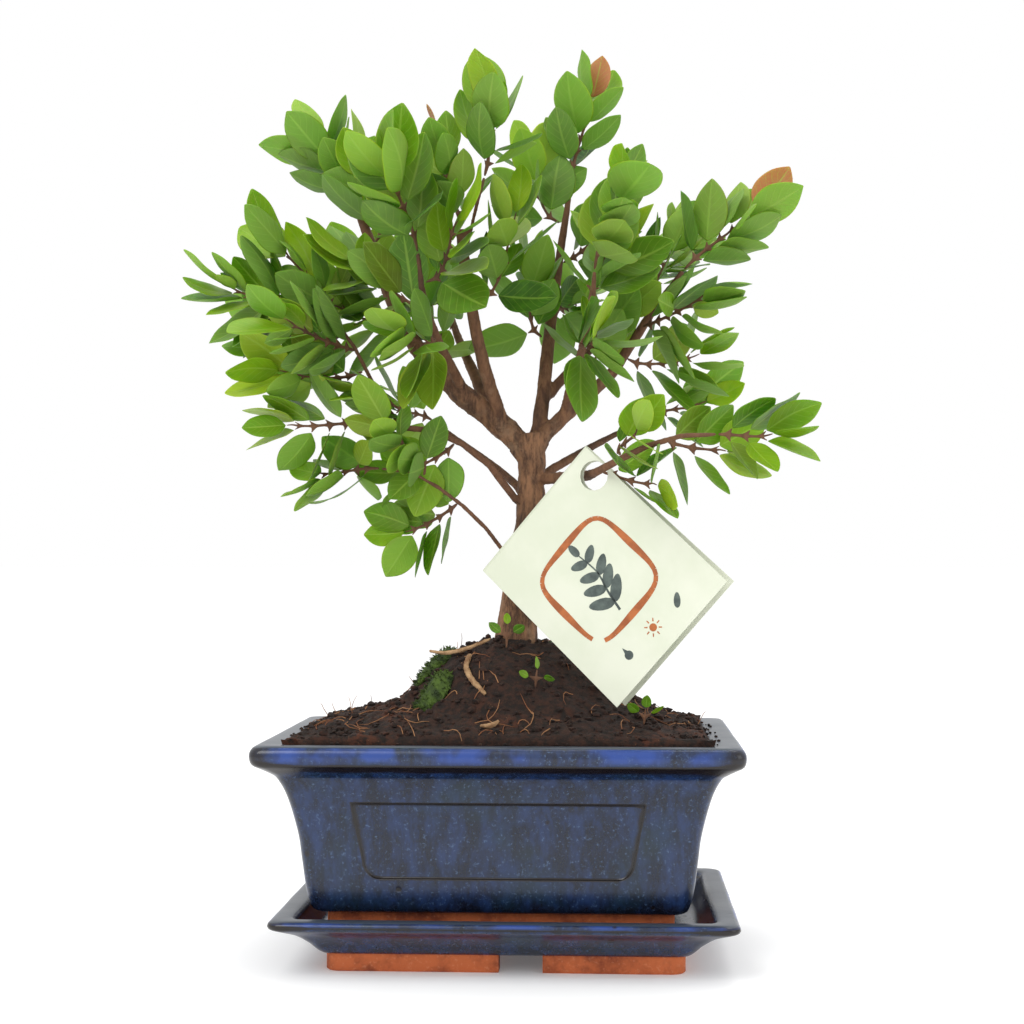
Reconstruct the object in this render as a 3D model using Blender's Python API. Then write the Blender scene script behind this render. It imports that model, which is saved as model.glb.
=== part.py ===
"""A small indoor bonsai tree in a glazed rectangular pot on its saucer, with a folded card hung on a branch.

Lengths are in metres. The working origin is on the floor under the middle of the pot, +X runs along the
pot's long side and +Y points to its back. At the end the whole object is moved so that the origin is the
middle of its underside.
"""

import math
import random
from dataclasses import dataclass
from functools import lru_cache

import bmesh
import bpy
from mathutils import Euler, Matrix, Vector, noise
from mathutils.bvhtree import BVHTree

MM = 0.001
CLEARANCE = 0.0003
UP = Vector((0.0, 0.0, 1.0))

# Saucer
SAUCER_HEIGHT = 0.0185
SAUCER_FLOOR = 0.0115
SAUCER_SHIFT = 0.0018
SAUCER_FOOT_INSET = 0.0165
SAUCER_FOOT_BAND = 0.008
SAUCER_FOOT_HEIGHT = 0.0056
FOOT_NOTCH = 0.014
FOOT_NOTCH_SHIFT = 0.005

# Pot
POT_LENGTH = 0.155
POT_WIDTH = 0.115
SAUCER_SHORTER = 0.007
SAUCER_NARROWER = 0.005
SAUCER_LENGTH = POT_LENGTH - SAUCER_SHORTER
SAUCER_WIDTH = POT_WIDTH - SAUCER_NARROWER
POT_HEIGHT = 0.0612
POT_WALL = 0.006
POT_FLOOR = 0.0075
RIM_BAND = 0.008
CORNER_RADIUS = 0.0042
DRAIN_HOLE = 0.006
DRAIN_SPACING = 0.050
PANEL_TOP_HALF = 0.0465
PANEL_BOTTOM_HALF = 0.0420
PANEL_DEPTH = 0.0008
PANEL_CORNER = 0.0045
PANEL_LOW = 0.295
PANEL_HIGH = 0.700

# The pot's outer wall: distance in from the rim's edge, and height as a share of the pot's height.
POT_OUTLINE = (
    (0.0175, 0.125), (0.0170, 0.142), (0.0156, 0.240), (0.0133, 0.533), (0.0105, 0.717),
    (0.0072, 0.827), (0.0052, 0.856), (0.0024, 0.889), (0.0, 0.935), (0.0009, 0.988), (0.0020, 1.0),
)
# The saucer's outer side: distance in from the rim's edge, and height as a share of the saucer's height.
SAUCER_OUTLINE = (
    (0.0150, 0.325), (0.0126, 0.443), (0.0112, 0.524), (0.0073, 0.686), (0.0008, 0.850),
    (0.0, 0.905), (0.0005, 0.975), (0.0015, 1.0),
)

# Soil
SOIL_EDGE_RISE = 0.0015
SOIL_BROAD_RISE = 0.0125
SOIL_BALL_RISE = 0.0180
SOIL_BALL_LEFT = 0.036
SOIL_BALL_RIGHT = 0.050
SOIL_BALL_DEPTH = 0.033
SOIL_ROUGHNESS = 0.0009
SOIL_RINGS = 9

# Tree
TREE_HEIGHT = 0.195
DRAWN_HEIGHT = 0.195
TRUNK_SHIFT = 0.003
TRUNK_BURIED = 0.016
LIMB_STEP = 11.0
TWIG_RADIUS = 0.00072
TWIG_REACH = 0.88
LEAF_NODE = 0.0012
PETIOLE = 0.0022
LEAF_TRIES = 60
TWIG_TRIES = 80
TWIG_TURN_TRIES = 8
CROWN_MIDDLE = (-4, 4, 96)
GOLDEN_ANGLE = math.radians(137.5)
BARE_SHARE = 0.3
PAIR_SPACING = 6.0
MOST_PAIRS = 6

# Card
CARD_LENGTH = 0.054
CARD_DROP = 0.065
CARD_SHEET = 0.0004
CARD_FOLD = 0.0011
CARD_OPENING = math.radians(5.0)
CARD_HOLE = 0.0048
CARD_HOLE_PLACE = (0.022, 0.009)
CARD_TURN = (math.radians(-2), math.radians(-48), math.radians(-22))
CARD_HANG_SHARE = 0.46
CARD_BRANCH = "label_branch"
MOST_LIFT = 45


@dataclass(frozen=True)
class Limb:
    """A limb that grows from its parent at a share of the parent's length.

    Its headings (degrees: 0 right, 90 back, 180 left, 270 front) and rises (degrees over level) are passed
    through one after another along its length. Lengths and radii are in millimetres. It carries a number of
    leafy shoots of about one reach and leaf length, the first at its tip.
    """

    parent: str
    share: float
    headings: tuple
    rises: tuple
    length: float
    foot_radius: float
    tip_radius: float
    shoots: int = 0
    reach: float = 0.0
    leaf: float = 0.0
    taper: float = 1.0


LIMBS = {
    # The trunk stands almost upright and forks into a leader that leans left and two that go right.
    "trunk": Limb("", 0, (0,), (90, 86, 82, 84, 100), 87, 8.4, 4.9, taper=2.5),
    "leader": Limb(
        "trunk", 0.90, (180, 180, 170, 180, 185), (55, 35, 45, 65, 70, 70), 110, 4.8, 1.6, 5, 26, 21
    ),
    "back_riser": Limb("trunk", 0.86, (50, 70, 80, 60, 0), (75, 75, 65, 75, 85), 108, 3.4, 1.0, 5, 31, 21),
    "right_riser": Limb(
        "trunk", 0.90, (10, 20, 5, 0, 350), (70, 40, 40, 60, 55, 50), 84, 3.2, 1.0, 5, 30, 21
    ),
    # A leader was cut off in front, and a thin twig grows on beside the cut.
    "cut_leader": Limb("leader", 0.12, (235, 225, 235), (55, 75, 80), 70, 2.4, 2.0, 2, 30, 20),
    "cut_leader_twig": Limb("cut_leader", 0.85, (320, 330), (75, 70), 28, 0.9, 0.6, 1, 26, 23),
    # Two thin limbs leave the trunk low on the left, and one of them carries the outermost foliage.
    "low_left": Limb("trunk", 0.67, (225, 200, 195, 185), (45, 50, 30, 5, 5), 70, 1.6, 0.95, 3, 24, 19),
    "low_left_thin": Limb("trunk", 0.46, (225, 200, 185, 185), (35, 50, 40, 30, -5), 62, 1.0, 0.6, 3, 26, 19),
    "left_riser": Limb("low_left", 0.80, (190, 180, 180), (45, 65, 60, 5), 52, 0.95, 0.7, 5, 34, 21),
    # The branch that carries the card comes forward, passes through the card's hole and turns right.
    "label_branch": Limb(
        "trunk", 0.82, (330, 310, 290, 285, 335, 0, 5), (0, 0, 0, 8, 25, 15, -5), 88, 2.4, 0.7, 4, 20, 18
    ),
    "front_left": Limb("leader", 0.28, (240, 240, 250, 265), (50, 45, 55, 70), 56, 2.2, 0.8, 4, 30, 23),
    "front_right": Limb("right_riser", 0.22, (290, 295, 290, 270), (55, 50, 50, 65), 56, 1.9, 0.8, 3, 30, 22),
    # Limbs at the back fill the crown's depth.
    "back_left": Limb("leader", 0.18, (110, 120, 120, 115), (45, 45, 50, 65), 66, 2.6, 0.9, 2, 24, 20),
    "back_right": Limb("back_riser", 0.22, (45, 40, 35, 35), (45, 40, 45, 60), 62, 2.2, 0.8, 1, 25, 20),
    "low_back": Limb("trunk", 0.72, (120, 135, 145, 150), (40, 30, 30, 35), 58, 1.9, 0.8, 1, 25, 20),
    "low_back_right": Limb("trunk", 0.80, (50, 40, 35, 30), (30, 25, 25, 25), 60, 2.0, 0.8, 1, 25, 20),
}

# Small things on the soil: (x, y, lift above the soil, radius) in millimetres from the trunk's foot.
SURFACE_ROOTS = {
    "hooked_root": ((-14, -15, 1.2, 1.0), (-15.5, -19, 0.9, 1.1), (-13, -24, 0.6, 1.2), (-8, -29, 0.2, 0.8)),
    "fallen_twig": ((-7.5, -9, 1.5, 0.6), (-15, -11, 1.8, 0.8), (-22, -11.5, 3.6, 0.8), (-28, -12, 9.5, 0.5)),
    "bark_chip": ((-9, -40.5, 0.7, 0.5), (-5.5, -41, 0.8, 1.1), (-3, -38.5, 1.2, 0.7)),
}
# Moss cushions: (x, y, half length, half width, half height) in millimetres.
MOSS_CUSHIONS = ((-27, -2, 7.5, 6, 3.2), (-26, -20, 6.5, 5, 2.6), (17, 12, 8, 6, 2.8))
# Seedlings: (x, y, height, leaf length) in millimetres.
SEEDLINGS = ((-2, -15, 6, 5), (8, -26, 4, 4.5), (43, -34, 3.5, 5))

COLOURS = {
    "glaze": (0.025, 0.055, 0.13, 1.0),
    "soil": (0.03, 0.016, 0.009, 1.0),
    "bark": (0.11, 0.06, 0.03, 1.0),
    "leaf": (0.16, 0.33, 0.02, 1.0),
    "moss": (0.05, 0.08, 0.01, 1.0),
    "root": (0.25, 0.16, 0.09, 1.0),
    "card": (0.84, 0.85, 0.76, 1.0),
}


def clear_scene():
    for item in list(bpy.data.objects):
        bpy.data.objects.remove(item, do_unlink=True)


def material(name, roughness):
    """A plain material in one of the object's colours."""
    found = bpy.data.materials.get(name)
    if found:
        return found
    made = bpy.data.materials.new(name)
    made.use_nodes = True
    shader = made.node_tree.nodes["Principled BSDF"]
    shader.inputs["Base Color"].default_value = COLOURS[name]
    shader.inputs["Roughness"].default_value = roughness
    shader.inputs["Metallic"].default_value = 0.0
    return made


def finish(name, bm, colour, roughness, parent, smooth=True):
    """Makes the object that a bmesh describes, with its faces pointing out."""
    bmesh.ops.recalc_face_normals(bm, faces=bm.faces)
    if bm.calc_volume(signed=True) < 0:
        bmesh.ops.reverse_faces(bm, faces=bm.faces)
    mesh = bpy.data.meshes.new(name)
    bm.to_mesh(mesh)
    bm.free()
    made = bpy.data.objects.new(name, mesh)
    bpy.context.scene.collection.objects.link(made)
    made.parent = parent
    mesh.materials.append(material(colour, roughness))
    if smooth:
        mesh.shade_smooth()
        mesh.set_sharp_from_angle(angle=math.radians(35))
    return made


def helper(name, bm, parent):
    """Makes an object that only cuts or joins others."""
    made = finish(name, bm, "bark", 0.8, parent, smooth=False)
    made.hide_render = True
    made.display_type = "WIRE"
    return made


def boolean(target, other, operation):
    step = target.modifiers.new(other.name, "BOOLEAN")
    step.operation = operation
    step.solver = "EXACT"
    step.object = other


def tree_of(item):
    """A search tree of the object's surface as it stands."""
    bpy.context.view_layer.update()
    return BVHTree.FromObject(item, bpy.context.evaluated_depsgraph_get())


def sweep(bm, rings):
    """Sweeps a closed body through rings of points and returns the vertices of each ring."""
    loops = [[bm.verts.new(point) for point in rings[0]]]
    cap = bm.faces.new(loops[0])
    for ring in rings[1:]:
        cap = bmesh.ops.extrude_discrete_faces(bm, faces=[cap])["faces"][0]
        new_verts = list(cap.verts)
        loop = [min(new_verts, key=lambda vert: (vert.co - old.co).length) for old in loops[-1]]
        for vert, point in zip(loop, ring):
            vert.co = point
        loops.append(loop)
    bm.faces.new(list(reversed(loops[0])))
    return loops


def rounded_rectangle(half_x, half_y, radius, z, centre_x=0.0, corner_steps=3, side_steps=1):
    """Points round a rectangle with round corners, anticlockwise seen from above."""
    points = []
    corners = ((1, 1, 0), (-1, 1, 90), (-1, -1, 180), (1, -1, 270))
    for index, (sign_x, sign_y, start) in enumerate(corners):
        middle = Vector((centre_x + sign_x * (half_x - radius), sign_y * (half_y - radius), z))
        arc = []
        for step in range(corner_steps + 1):
            angle = math.radians(start + 90 * step / corner_steps)
            arc.append(middle + radius * Vector((math.cos(angle), math.sin(angle), 0.0)))
        points.extend(arc)
        following = corners[(index + 1) % 4]
        next_middle = Vector(
            (centre_x + following[0] * (half_x - radius), following[1] * (half_y - radius), z)
        )
        angle = math.radians(start + 90)
        next_start = next_middle + radius * Vector((math.cos(angle), math.sin(angle), 0.0))
        points.extend(arc[-1].lerp(next_start, step / side_steps) for step in range(1, side_steps))
    return points


def turned_rings(length, width, profile, centre_x=0.0):
    """Rings for a rectangular vessel from pairs of inset and height."""
    return [
        rounded_rectangle(length / 2 - inset, width / 2 - inset, CORNER_RADIUS, z, centre_x)
        for inset, z in profile
    ]


def box(bm, low, high):
    bmesh.ops.create_cube(bm, size=1.0)
    middle = (Vector(low) + Vector(high)) / 2
    size = Vector(high) - Vector(low)
    bmesh.ops.transform(bm, matrix=Matrix.Translation(middle) @ Matrix.Diagonal((*size, 1.0)), verts=bm.verts)


def make_saucer(parent):
    foot_outer = SAUCER_FOOT_INSET
    foot_inner = SAUCER_FOOT_INSET + SAUCER_FOOT_BAND
    underside = SAUCER_FLOOR - 0.0043
    profile = [(foot_inner, underside), (foot_inner, 0.0)]
    profile += [(foot_outer, 0.0), (foot_outer, SAUCER_FOOT_HEIGHT)]
    profile += [(inset, share * SAUCER_HEIGHT) for inset, share in SAUCER_OUTLINE]
    profile += [(0.0062, SAUCER_HEIGHT), (0.0074, SAUCER_HEIGHT - 0.0007)]
    profile += [(0.0105, SAUCER_FLOOR + 0.0018), (0.0120, SAUCER_FLOOR)]
    bm = bmesh.new()
    sweep(bm, turned_rings(SAUCER_LENGTH, SAUCER_WIDTH, profile, SAUCER_SHIFT))
    saucer = finish("saucer", bm, "glaze", 0.25, parent)
    notch = bmesh.new()
    middle = SAUCER_SHIFT + FOOT_NOTCH_SHIFT
    low = (middle - FOOT_NOTCH / 2, -SAUCER_WIDTH, -0.001)
    box(notch, low, (middle + FOOT_NOTCH / 2, SAUCER_WIDTH, underside))
    bmesh.ops.recalc_face_normals(notch, faces=notch.faces)
    boolean(saucer, helper("foot_notch", notch, parent), "DIFFERENCE")
    return saucer


def pot_base():
    return SAUCER_FLOOR + CLEARANCE


def pot_rim():
    return pot_base() + POT_HEIGHT


def wall_inset(height):
    """How far the pot's outer wall stands in from the rim's edge at a height above the pot's base."""
    share = height / POT_HEIGHT
    for (inset, low), (next_inset, high) in zip(POT_OUTLINE, POT_OUTLINE[1:]):
        if low <= share <= high:
            return inset + (next_inset - inset) * (share - low) / (high - low)
    return POT_OUTLINE[0][0] if share < POT_OUTLINE[0][1] else POT_OUTLINE[-1][0]


def pot_inside():
    """Pairs of inset and height down the pot's inner wall, from the rim to the floor."""
    rim_inner = POT_OUTLINE[-1][0] + RIM_BAND
    heights = (POT_HEIGHT * 0.90, POT_HEIGHT * 0.66, POT_FLOOR + 0.003)
    steps = [(rim_inner, POT_HEIGHT)]
    steps += [(max(rim_inner + 0.0012, wall_inset(height) + POT_WALL), height) for height in heights]
    steps.append((steps[-1][0] + 0.003, POT_FLOOR))
    return steps


def make_pot(parent):
    base = pot_base()
    foot_outer = POT_OUTLINE[0][0] + 0.0040
    foot_inner = foot_outer + 0.0070
    foot_height = POT_OUTLINE[0][1] * POT_HEIGHT
    profile = [(foot_inner, 0.0042), (foot_inner, 0.0), (foot_outer, 0.0), (foot_outer, foot_height - 0.0004)]
    profile += [(inset, share * POT_HEIGHT) for inset, share in POT_OUTLINE]
    profile += pot_inside()
    bm = bmesh.new()
    sweep(bm, turned_rings(POT_LENGTH, POT_WIDTH, [(inset, base + z) for inset, z in profile]))
    pot = finish("pot", bm, "glaze", 0.22, parent)
    for side in (-1, 1):
        drain = bmesh.new()
        bmesh.ops.create_cone(
            drain, cap_ends=True, segments=12, radius1=DRAIN_HOLE, radius2=DRAIN_HOLE, depth=0.03,
            matrix=Matrix.Translation((side * DRAIN_SPACING / 2, 0.0, base + POT_FLOOR / 2)),
        )
        boolean(pot, helper(f"drain_{side}", drain, parent), "DIFFERENCE")
        boolean(pot, helper(f"panel_{side}", panel_cutter(side), parent), "DIFFERENCE")
    return pot


def panel_half(height):
    """Half the panel's length at a height above the pot's base, with round lower corners."""
    low = PANEL_LOW * POT_HEIGHT
    high = PANEL_HIGH * POT_HEIGHT
    straight = PANEL_BOTTOM_HALF + (PANEL_TOP_HALF - PANEL_BOTTOM_HALF) * (height - low) / (high - low)
    rise = min(height - low, PANEL_CORNER)
    return straight - PANEL_CORNER + math.sqrt(PANEL_CORNER**2 - (PANEL_CORNER - rise) ** 2)


def panel_cutter(side):
    """The shallow recess on a long side of the pot: it follows the wall's slope."""
    low = PANEL_LOW * POT_HEIGHT
    high = PANEL_HIGH * POT_HEIGHT
    corner = [low + PANEL_CORNER * share for share in (0.0, 0.12, 0.45, 1.0)]
    heights = corner + [POT_OUTLINE[3][1] * POT_HEIGHT, high]
    rings = []
    for height in heights:
        half = panel_half(height)
        inner = side * (POT_WIDTH / 2 - wall_inset(height) - PANEL_DEPTH)
        outer = side * (POT_WIDTH / 2 + 0.004)
        z = pot_base() + height
        corners = ((-half, inner), (half, inner), (half, outer), (-half, outer))
        rings.append([Vector((x, y, z)) for x, y in corners])
    bm = bmesh.new()
    sweep(bm, rings)
    bmesh.ops.recalc_face_normals(bm, faces=bm.faces)
    return bm


def soil_edge():
    """Half length and half width of the soil's top edge."""
    inset = pot_inside()[0][0] + CLEARANCE
    return POT_LENGTH / 2 - inset, POT_WIDTH / 2 - inset


def soil_height(x, y):
    """Height of the soil's surface over the floor."""
    half_x, half_y = soil_edge()
    across = max(0.0, 1 - (x / half_x) ** 2) * max(0.0, 1 - (y / half_y) ** 2)
    height = pot_rim() + SOIL_EDGE_RISE + SOIL_BROAD_RISE * across
    dx = x - TRUNK_SHIFT
    reach = SOIL_BALL_LEFT if dx < 0 else SOIL_BALL_RIGHT
    ball = max(0.0, 1 - (dx / reach) ** 2 - (y / SOIL_BALL_DEPTH) ** 2)
    power = 0.75 if dx < 0 else 0.75 + 0.8 * min(1.0, dx / 0.02)
    height += SOIL_BALL_RISE * ball**power
    return height + SOIL_ROUGHNESS * noise.noise(Vector((x, y, 0.0)) * 160)


def make_soil(parent):
    half_x, half_y = soil_edge()
    inside = [(inset + CLEARANCE, pot_base() + height) for inset, height in reversed(pot_inside())]
    inside[0] = (inside[0][0], inside[0][1] + CLEARANCE)
    rings = []
    for inset, z in inside:
        rings.append(
            rounded_rectangle(
                POT_LENGTH / 2 - inset, POT_WIDTH / 2 - inset, CORNER_RADIUS, z, side_steps=6
            )
        )
    edge = rounded_rectangle(half_x, half_y, CORNER_RADIUS, 0.0, side_steps=6)
    heart = Vector((TRUNK_SHIFT, 0.0, 0.0))
    for step in range(SOIL_RINGS + 1):
        share = (step + 0.12) / (SOIL_RINGS + 0.6)
        ring = []
        for point in edge:
            place = point.lerp(heart, share)
            ring.append(Vector((place.x, place.y, soil_height(place.x, place.y))))
        rings.append(ring)
    bm = bmesh.new()
    sweep(bm, rings)
    return finish("soil", bm, "soil", 0.95, parent)


def trunk_foot():
    return Vector((TRUNK_SHIFT, 0.0, pot_rim() + SOIL_EDGE_RISE + SOIL_BROAD_RISE + SOIL_BALL_RISE - 0.0015))


def tree_scale():
    return TREE_HEIGHT / DRAWN_HEIGHT


def tree_point(x, y, z):
    """A point of the tree from its millimetres."""
    return trunk_foot() + Vector((x, y, z)) * MM * tree_scale()


def passed_through(values, share):
    """The value at a share of the way through a row of evenly spaced ones."""
    place = share * (len(values) - 1)
    index = min(int(place), len(values) - 2)
    if index < 0:
        return values[0]
    return values[index] + nearest_turn(values[index + 1] - values[index]) * (place - index)


def nearest_turn(angle):
    """An angle in degrees as a turn of at most half a circle."""
    return (angle + 180) % 360 - 180


def limb_path(name):
    """Points and radii of a limb."""
    return lifted_path(name, card_branch_lift() if name == CARD_BRANCH else 0)


@lru_cache(maxsize=None)
def card_branch_lift():
    """Degrees that the card's branch rises beyond its drawn course, so that the card clears the soil."""
    outline = card_outline()
    for lift in range(MOST_LIFT):
        place = card_matrix(lift)
        for x in (-CARD_LENGTH / 2, -CARD_LENGTH / 4, 0.0, CARD_LENGTH / 4, CARD_LENGTH / 2):
            points = [place @ (point + Vector((x, 0.0, 0.0))) for point in outline]
            if any(point.z < soil_height(point.x, point.y) + 2 * CLEARANCE for point in points):
                break
        else:
            return lift
    return MOST_LIFT


def lifted_path(name, lift):
    """Points and radii of a limb that rises by some degrees beyond its drawn course."""
    limb = LIMBS[name]
    if limb.parent:
        place = along(*limb_path(limb.parent), limb.share)[0]
    else:
        place = trunk_foot() - UP * TRUNK_BURIED * tree_scale()
    steps = max(4, round(limb.length / LIMB_STEP))
    points = [place]
    radii = [limb.foot_radius * MM * tree_scale()]
    for number in range(steps):
        middle = (number + 0.5) / steps
        heading = math.radians(passed_through(limb.headings, middle))
        rise = math.radians(passed_through(limb.rises, middle) + lift)
        level = math.cos(rise)
        way = Vector((level * math.cos(heading), level * math.sin(heading), math.sin(rise)))
        points.append(points[-1] + way * limb.length * MM * tree_scale() / steps)
        left = (1 - (number + 1) / steps) ** limb.taper
        radius = limb.tip_radius + (limb.foot_radius - limb.tip_radius) * left
        radii.append(radius * MM * tree_scale())
    return points, radii


def tube_rings(points, radii, sides, extra=0.0, start_side=None):
    """Rings of points round a path, with a frame that turns no more than the path does."""
    rings = []
    tangent = (points[1] - points[0]).normalized()
    side = start_side or tangent.cross(UP if abs(tangent.z) < 0.9 else Vector((1.0, 0.0, 0.0)))
    side = (side - tangent * side.dot(tangent)).normalized()
    for index, (point, radius) in enumerate(zip(points, radii)):
        ahead = points[min(index + 1, len(points) - 1)]
        behind = points[max(index - 1, 0)]
        tangent = (ahead - behind).normalized()
        side = (side - tangent * side.dot(tangent)).normalized()
        other = tangent.cross(side)
        ring = []
        for step in range(sides):
            angle = math.tau * (step + 0.5) / sides
            ring.append(point + (radius + extra) * (math.cos(angle) * side + math.sin(angle) * other))
        rings.append(ring)
    return rings


def make_wood(parent):
    """The trunk and all its limbs as one grown piece."""
    bm = bmesh.new()
    points, radii = limb_path("trunk")
    sweep(bm, tube_rings(points, radii, 10))
    wood = finish("trunk_and_branches", bm, "bark", 0.85, parent)
    for name in LIMBS:
        if name == "trunk":
            continue
        points, radii = limb_path(name)
        limb = bmesh.new()
        sweep(limb, tube_rings(points, radii, 8 if radii[0] > 3 * MM else 6))
        boolean(wood, helper(f"limb_{name}", limb, parent), "UNION")
    return wood


def pocket(soil, name, rings, parent):
    """Cuts a pocket in the soil with a cutter swept through rings."""
    bm = bmesh.new()
    sweep(bm, rings)
    bmesh.ops.recalc_face_normals(bm, faces=bm.faces)
    boolean(soil, helper(f"pocket_{name}", bm, parent), "DIFFERENCE")


def make_socket(soil, parent):
    """The space in the soil that the trunk's foot fills."""
    points, radii = limb_path("trunk")
    points, radii = points[:4], radii[:4]
    points[0] = points[0] - UP * CLEARANCE * 2
    pocket(soil, "trunk", tube_rings(points, radii, 10, extra=CLEARANCE * 1.5), parent)


def ground_point(x, y, lift):
    place = Vector((TRUNK_SHIFT + x * MM, y * MM, 0.0))
    place.z = soil_height(place.x, place.y) + lift * MM
    return place


def make_surface_roots(soil, parent):
    made = []
    for name, route in SURFACE_ROOTS.items():
        points = [ground_point(x, y, lift) for x, y, lift, _ in route]
        radii = [radius * MM for *_, radius in route]
        bm = bmesh.new()
        sweep(bm, tube_rings(points, radii, 6))
        made.append(finish(name, bm, "root", 0.8, parent))
        ahead = (points[-1] - points[-2]).normalized() * CLEARANCE * 2
        longer = [points[0] - (points[1] - points[0]).normalized() * CLEARANCE * 2]
        longer += points[1:-1] + [points[-1] + ahead]
        pocket(soil, name, tube_rings(longer, radii, 6, extra=CLEARANCE * 1.6), parent)
    return made


def moss_blob(x, y, half_x, half_y, half_z, grow):
    bm = bmesh.new()
    bmesh.ops.create_icosphere(bm, subdivisions=2, radius=1.0)
    centre = ground_point(x, y, 0.2)
    for vert in bm.verts:
        lump = 1 + 0.14 * noise.noise(vert.co * 2.3 + Vector((x, y, 0.0)))
        out = vert.co.normalized()
        vert.co = Vector((out.x * half_x, out.y * half_y, out.z * half_z)) * MM * lump + out * grow
        ground = soil_height(centre.x + vert.co.x, centre.y + vert.co.y) - centre.z
        vert.co = centre + vert.co + UP * ground
    return bm


def make_moss(soil, parent):
    made = []
    for number, cushion in enumerate(MOSS_CUSHIONS, 1):
        name = f"moss_cushion_{number}"
        made.append(finish(name, moss_blob(*cushion, 0.0), "moss", 0.95, parent))
        cutter = moss_blob(*cushion, CLEARANCE * 2.2)
        bmesh.ops.recalc_face_normals(cutter, faces=cutter.faces)
        boolean(soil, helper(f"pocket_{name}", cutter, parent), "DIFFERENCE")
    return made


def card_outline():
    """The folded sheet seen along its fold: y runs away from the front panel and z up to the fold."""
    outer = CARD_FOLD + CARD_SHEET / 2
    inner = CARD_FOLD - CARD_SHEET / 2
    run = CARD_DROP - CARD_FOLD
    turn = [math.radians(angle) for angle in (180, 135, 90, 45)]
    down_back = Vector((0.0, math.sin(CARD_OPENING), -math.cos(CARD_OPENING)))
    out_back = Vector((0.0, math.cos(CARD_OPENING), math.sin(CARD_OPENING)))
    outline = [Vector((0.0, -outer, -run))]
    outline += [Vector((0.0, math.cos(a) * outer, math.sin(a) * outer)) for a in turn]
    outline += [out_back * outer, out_back * outer + down_back * run]
    outline += [out_back * inner + down_back * run, out_back * inner]
    outline += [Vector((0.0, math.cos(a) * inner, math.sin(a) * inner)) for a in reversed(turn)]
    outline += [Vector((0.0, -inner, -run))]
    return outline


def make_card(parent):
    """A sheet folded in two, hung on a branch that passes through its hole."""
    place = card_matrix(card_branch_lift())
    ends = (-CARD_LENGTH / 2, CARD_LENGTH / 2)
    rings = [[place @ (point + Vector((x, 0.0, 0.0))) for point in card_outline()] for x in ends]
    bm = bmesh.new()
    sweep(bm, rings)
    card = finish("label_card", bm, "card", 0.6, parent)
    hole = bmesh.new()
    across = Matrix.Rotation(math.pi / 2, 4, "X")
    middle = Matrix.Translation((CARD_HOLE_PLACE[0], 0.0, -CARD_HOLE_PLACE[1] + CARD_FOLD))
    bmesh.ops.create_cone(
        hole, cap_ends=True, segments=16, radius1=CARD_HOLE, radius2=CARD_HOLE, depth=0.03,
        matrix=place @ middle @ across,
    )
    boolean(card, helper("card_hole", hole, parent), "DIFFERENCE")
    return card


def card_matrix(lift):
    """Places the card so that its hole is on the branch. Its local origin is the middle of the fold."""
    lean, roll, turn = CARD_TURN
    rotation = (
        Matrix.Rotation(turn, 4, "Z") @ Matrix.Rotation(lean, 4, "X") @ Matrix.Rotation(roll, 4, "Y")
    )
    hole = Vector((CARD_HOLE_PLACE[0], 0.0, -CARD_HOLE_PLACE[1] + CARD_FOLD))
    threaded, _, radius = along(*lifted_path(CARD_BRANCH, lift), CARD_HANG_SHARE)
    slack = Vector((0.0, 0.0, -(CARD_HOLE - radius) * 0.35))
    return Matrix.Translation(threaded + slack - rotation.to_3x3() @ hole) @ rotation


class Garden:
    """What already stands, so that leaves can be grown clear of it."""

    def __init__(self):
        self.items = []

    def add_tree(self, tree, low, high):
        self.items.append((low, high, tree))

    def add_object(self, item):
        evaluated = item.evaluated_get(bpy.context.evaluated_depsgraph_get())
        corners = [Vector(corner) for corner in evaluated.bound_box]
        self.add_tree(tree_of(item), *bounds(corners))

    def clear_of(self, points, faces):
        low, high = bounds(points)
        tree = BVHTree.FromPolygons(points, faces)
        for other_low, other_high, other in self.items:
            if any(low[axis] > other_high[axis] or high[axis] < other_low[axis] for axis in range(3)):
                continue
            if tree.overlap(other):
                return False
        return True


def bounds(points):
    low = Vector(min(point[axis] for point in points) for axis in range(3))
    high = Vector(max(point[axis] for point in points) for axis in range(3))
    return low, high


def tube_faces(rings):
    """Points and faces of a swept tube, for a search tree."""
    sides = len(rings[0])
    points = [point for ring in rings for point in ring]
    faces = []
    for ring in range(len(rings) - 1):
        for side in range(sides):
            a = ring * sides + side
            b = ring * sides + (side + 1) % sides
            faces.append((a, b, b + sides, a + sides))
    return points, faces


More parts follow.
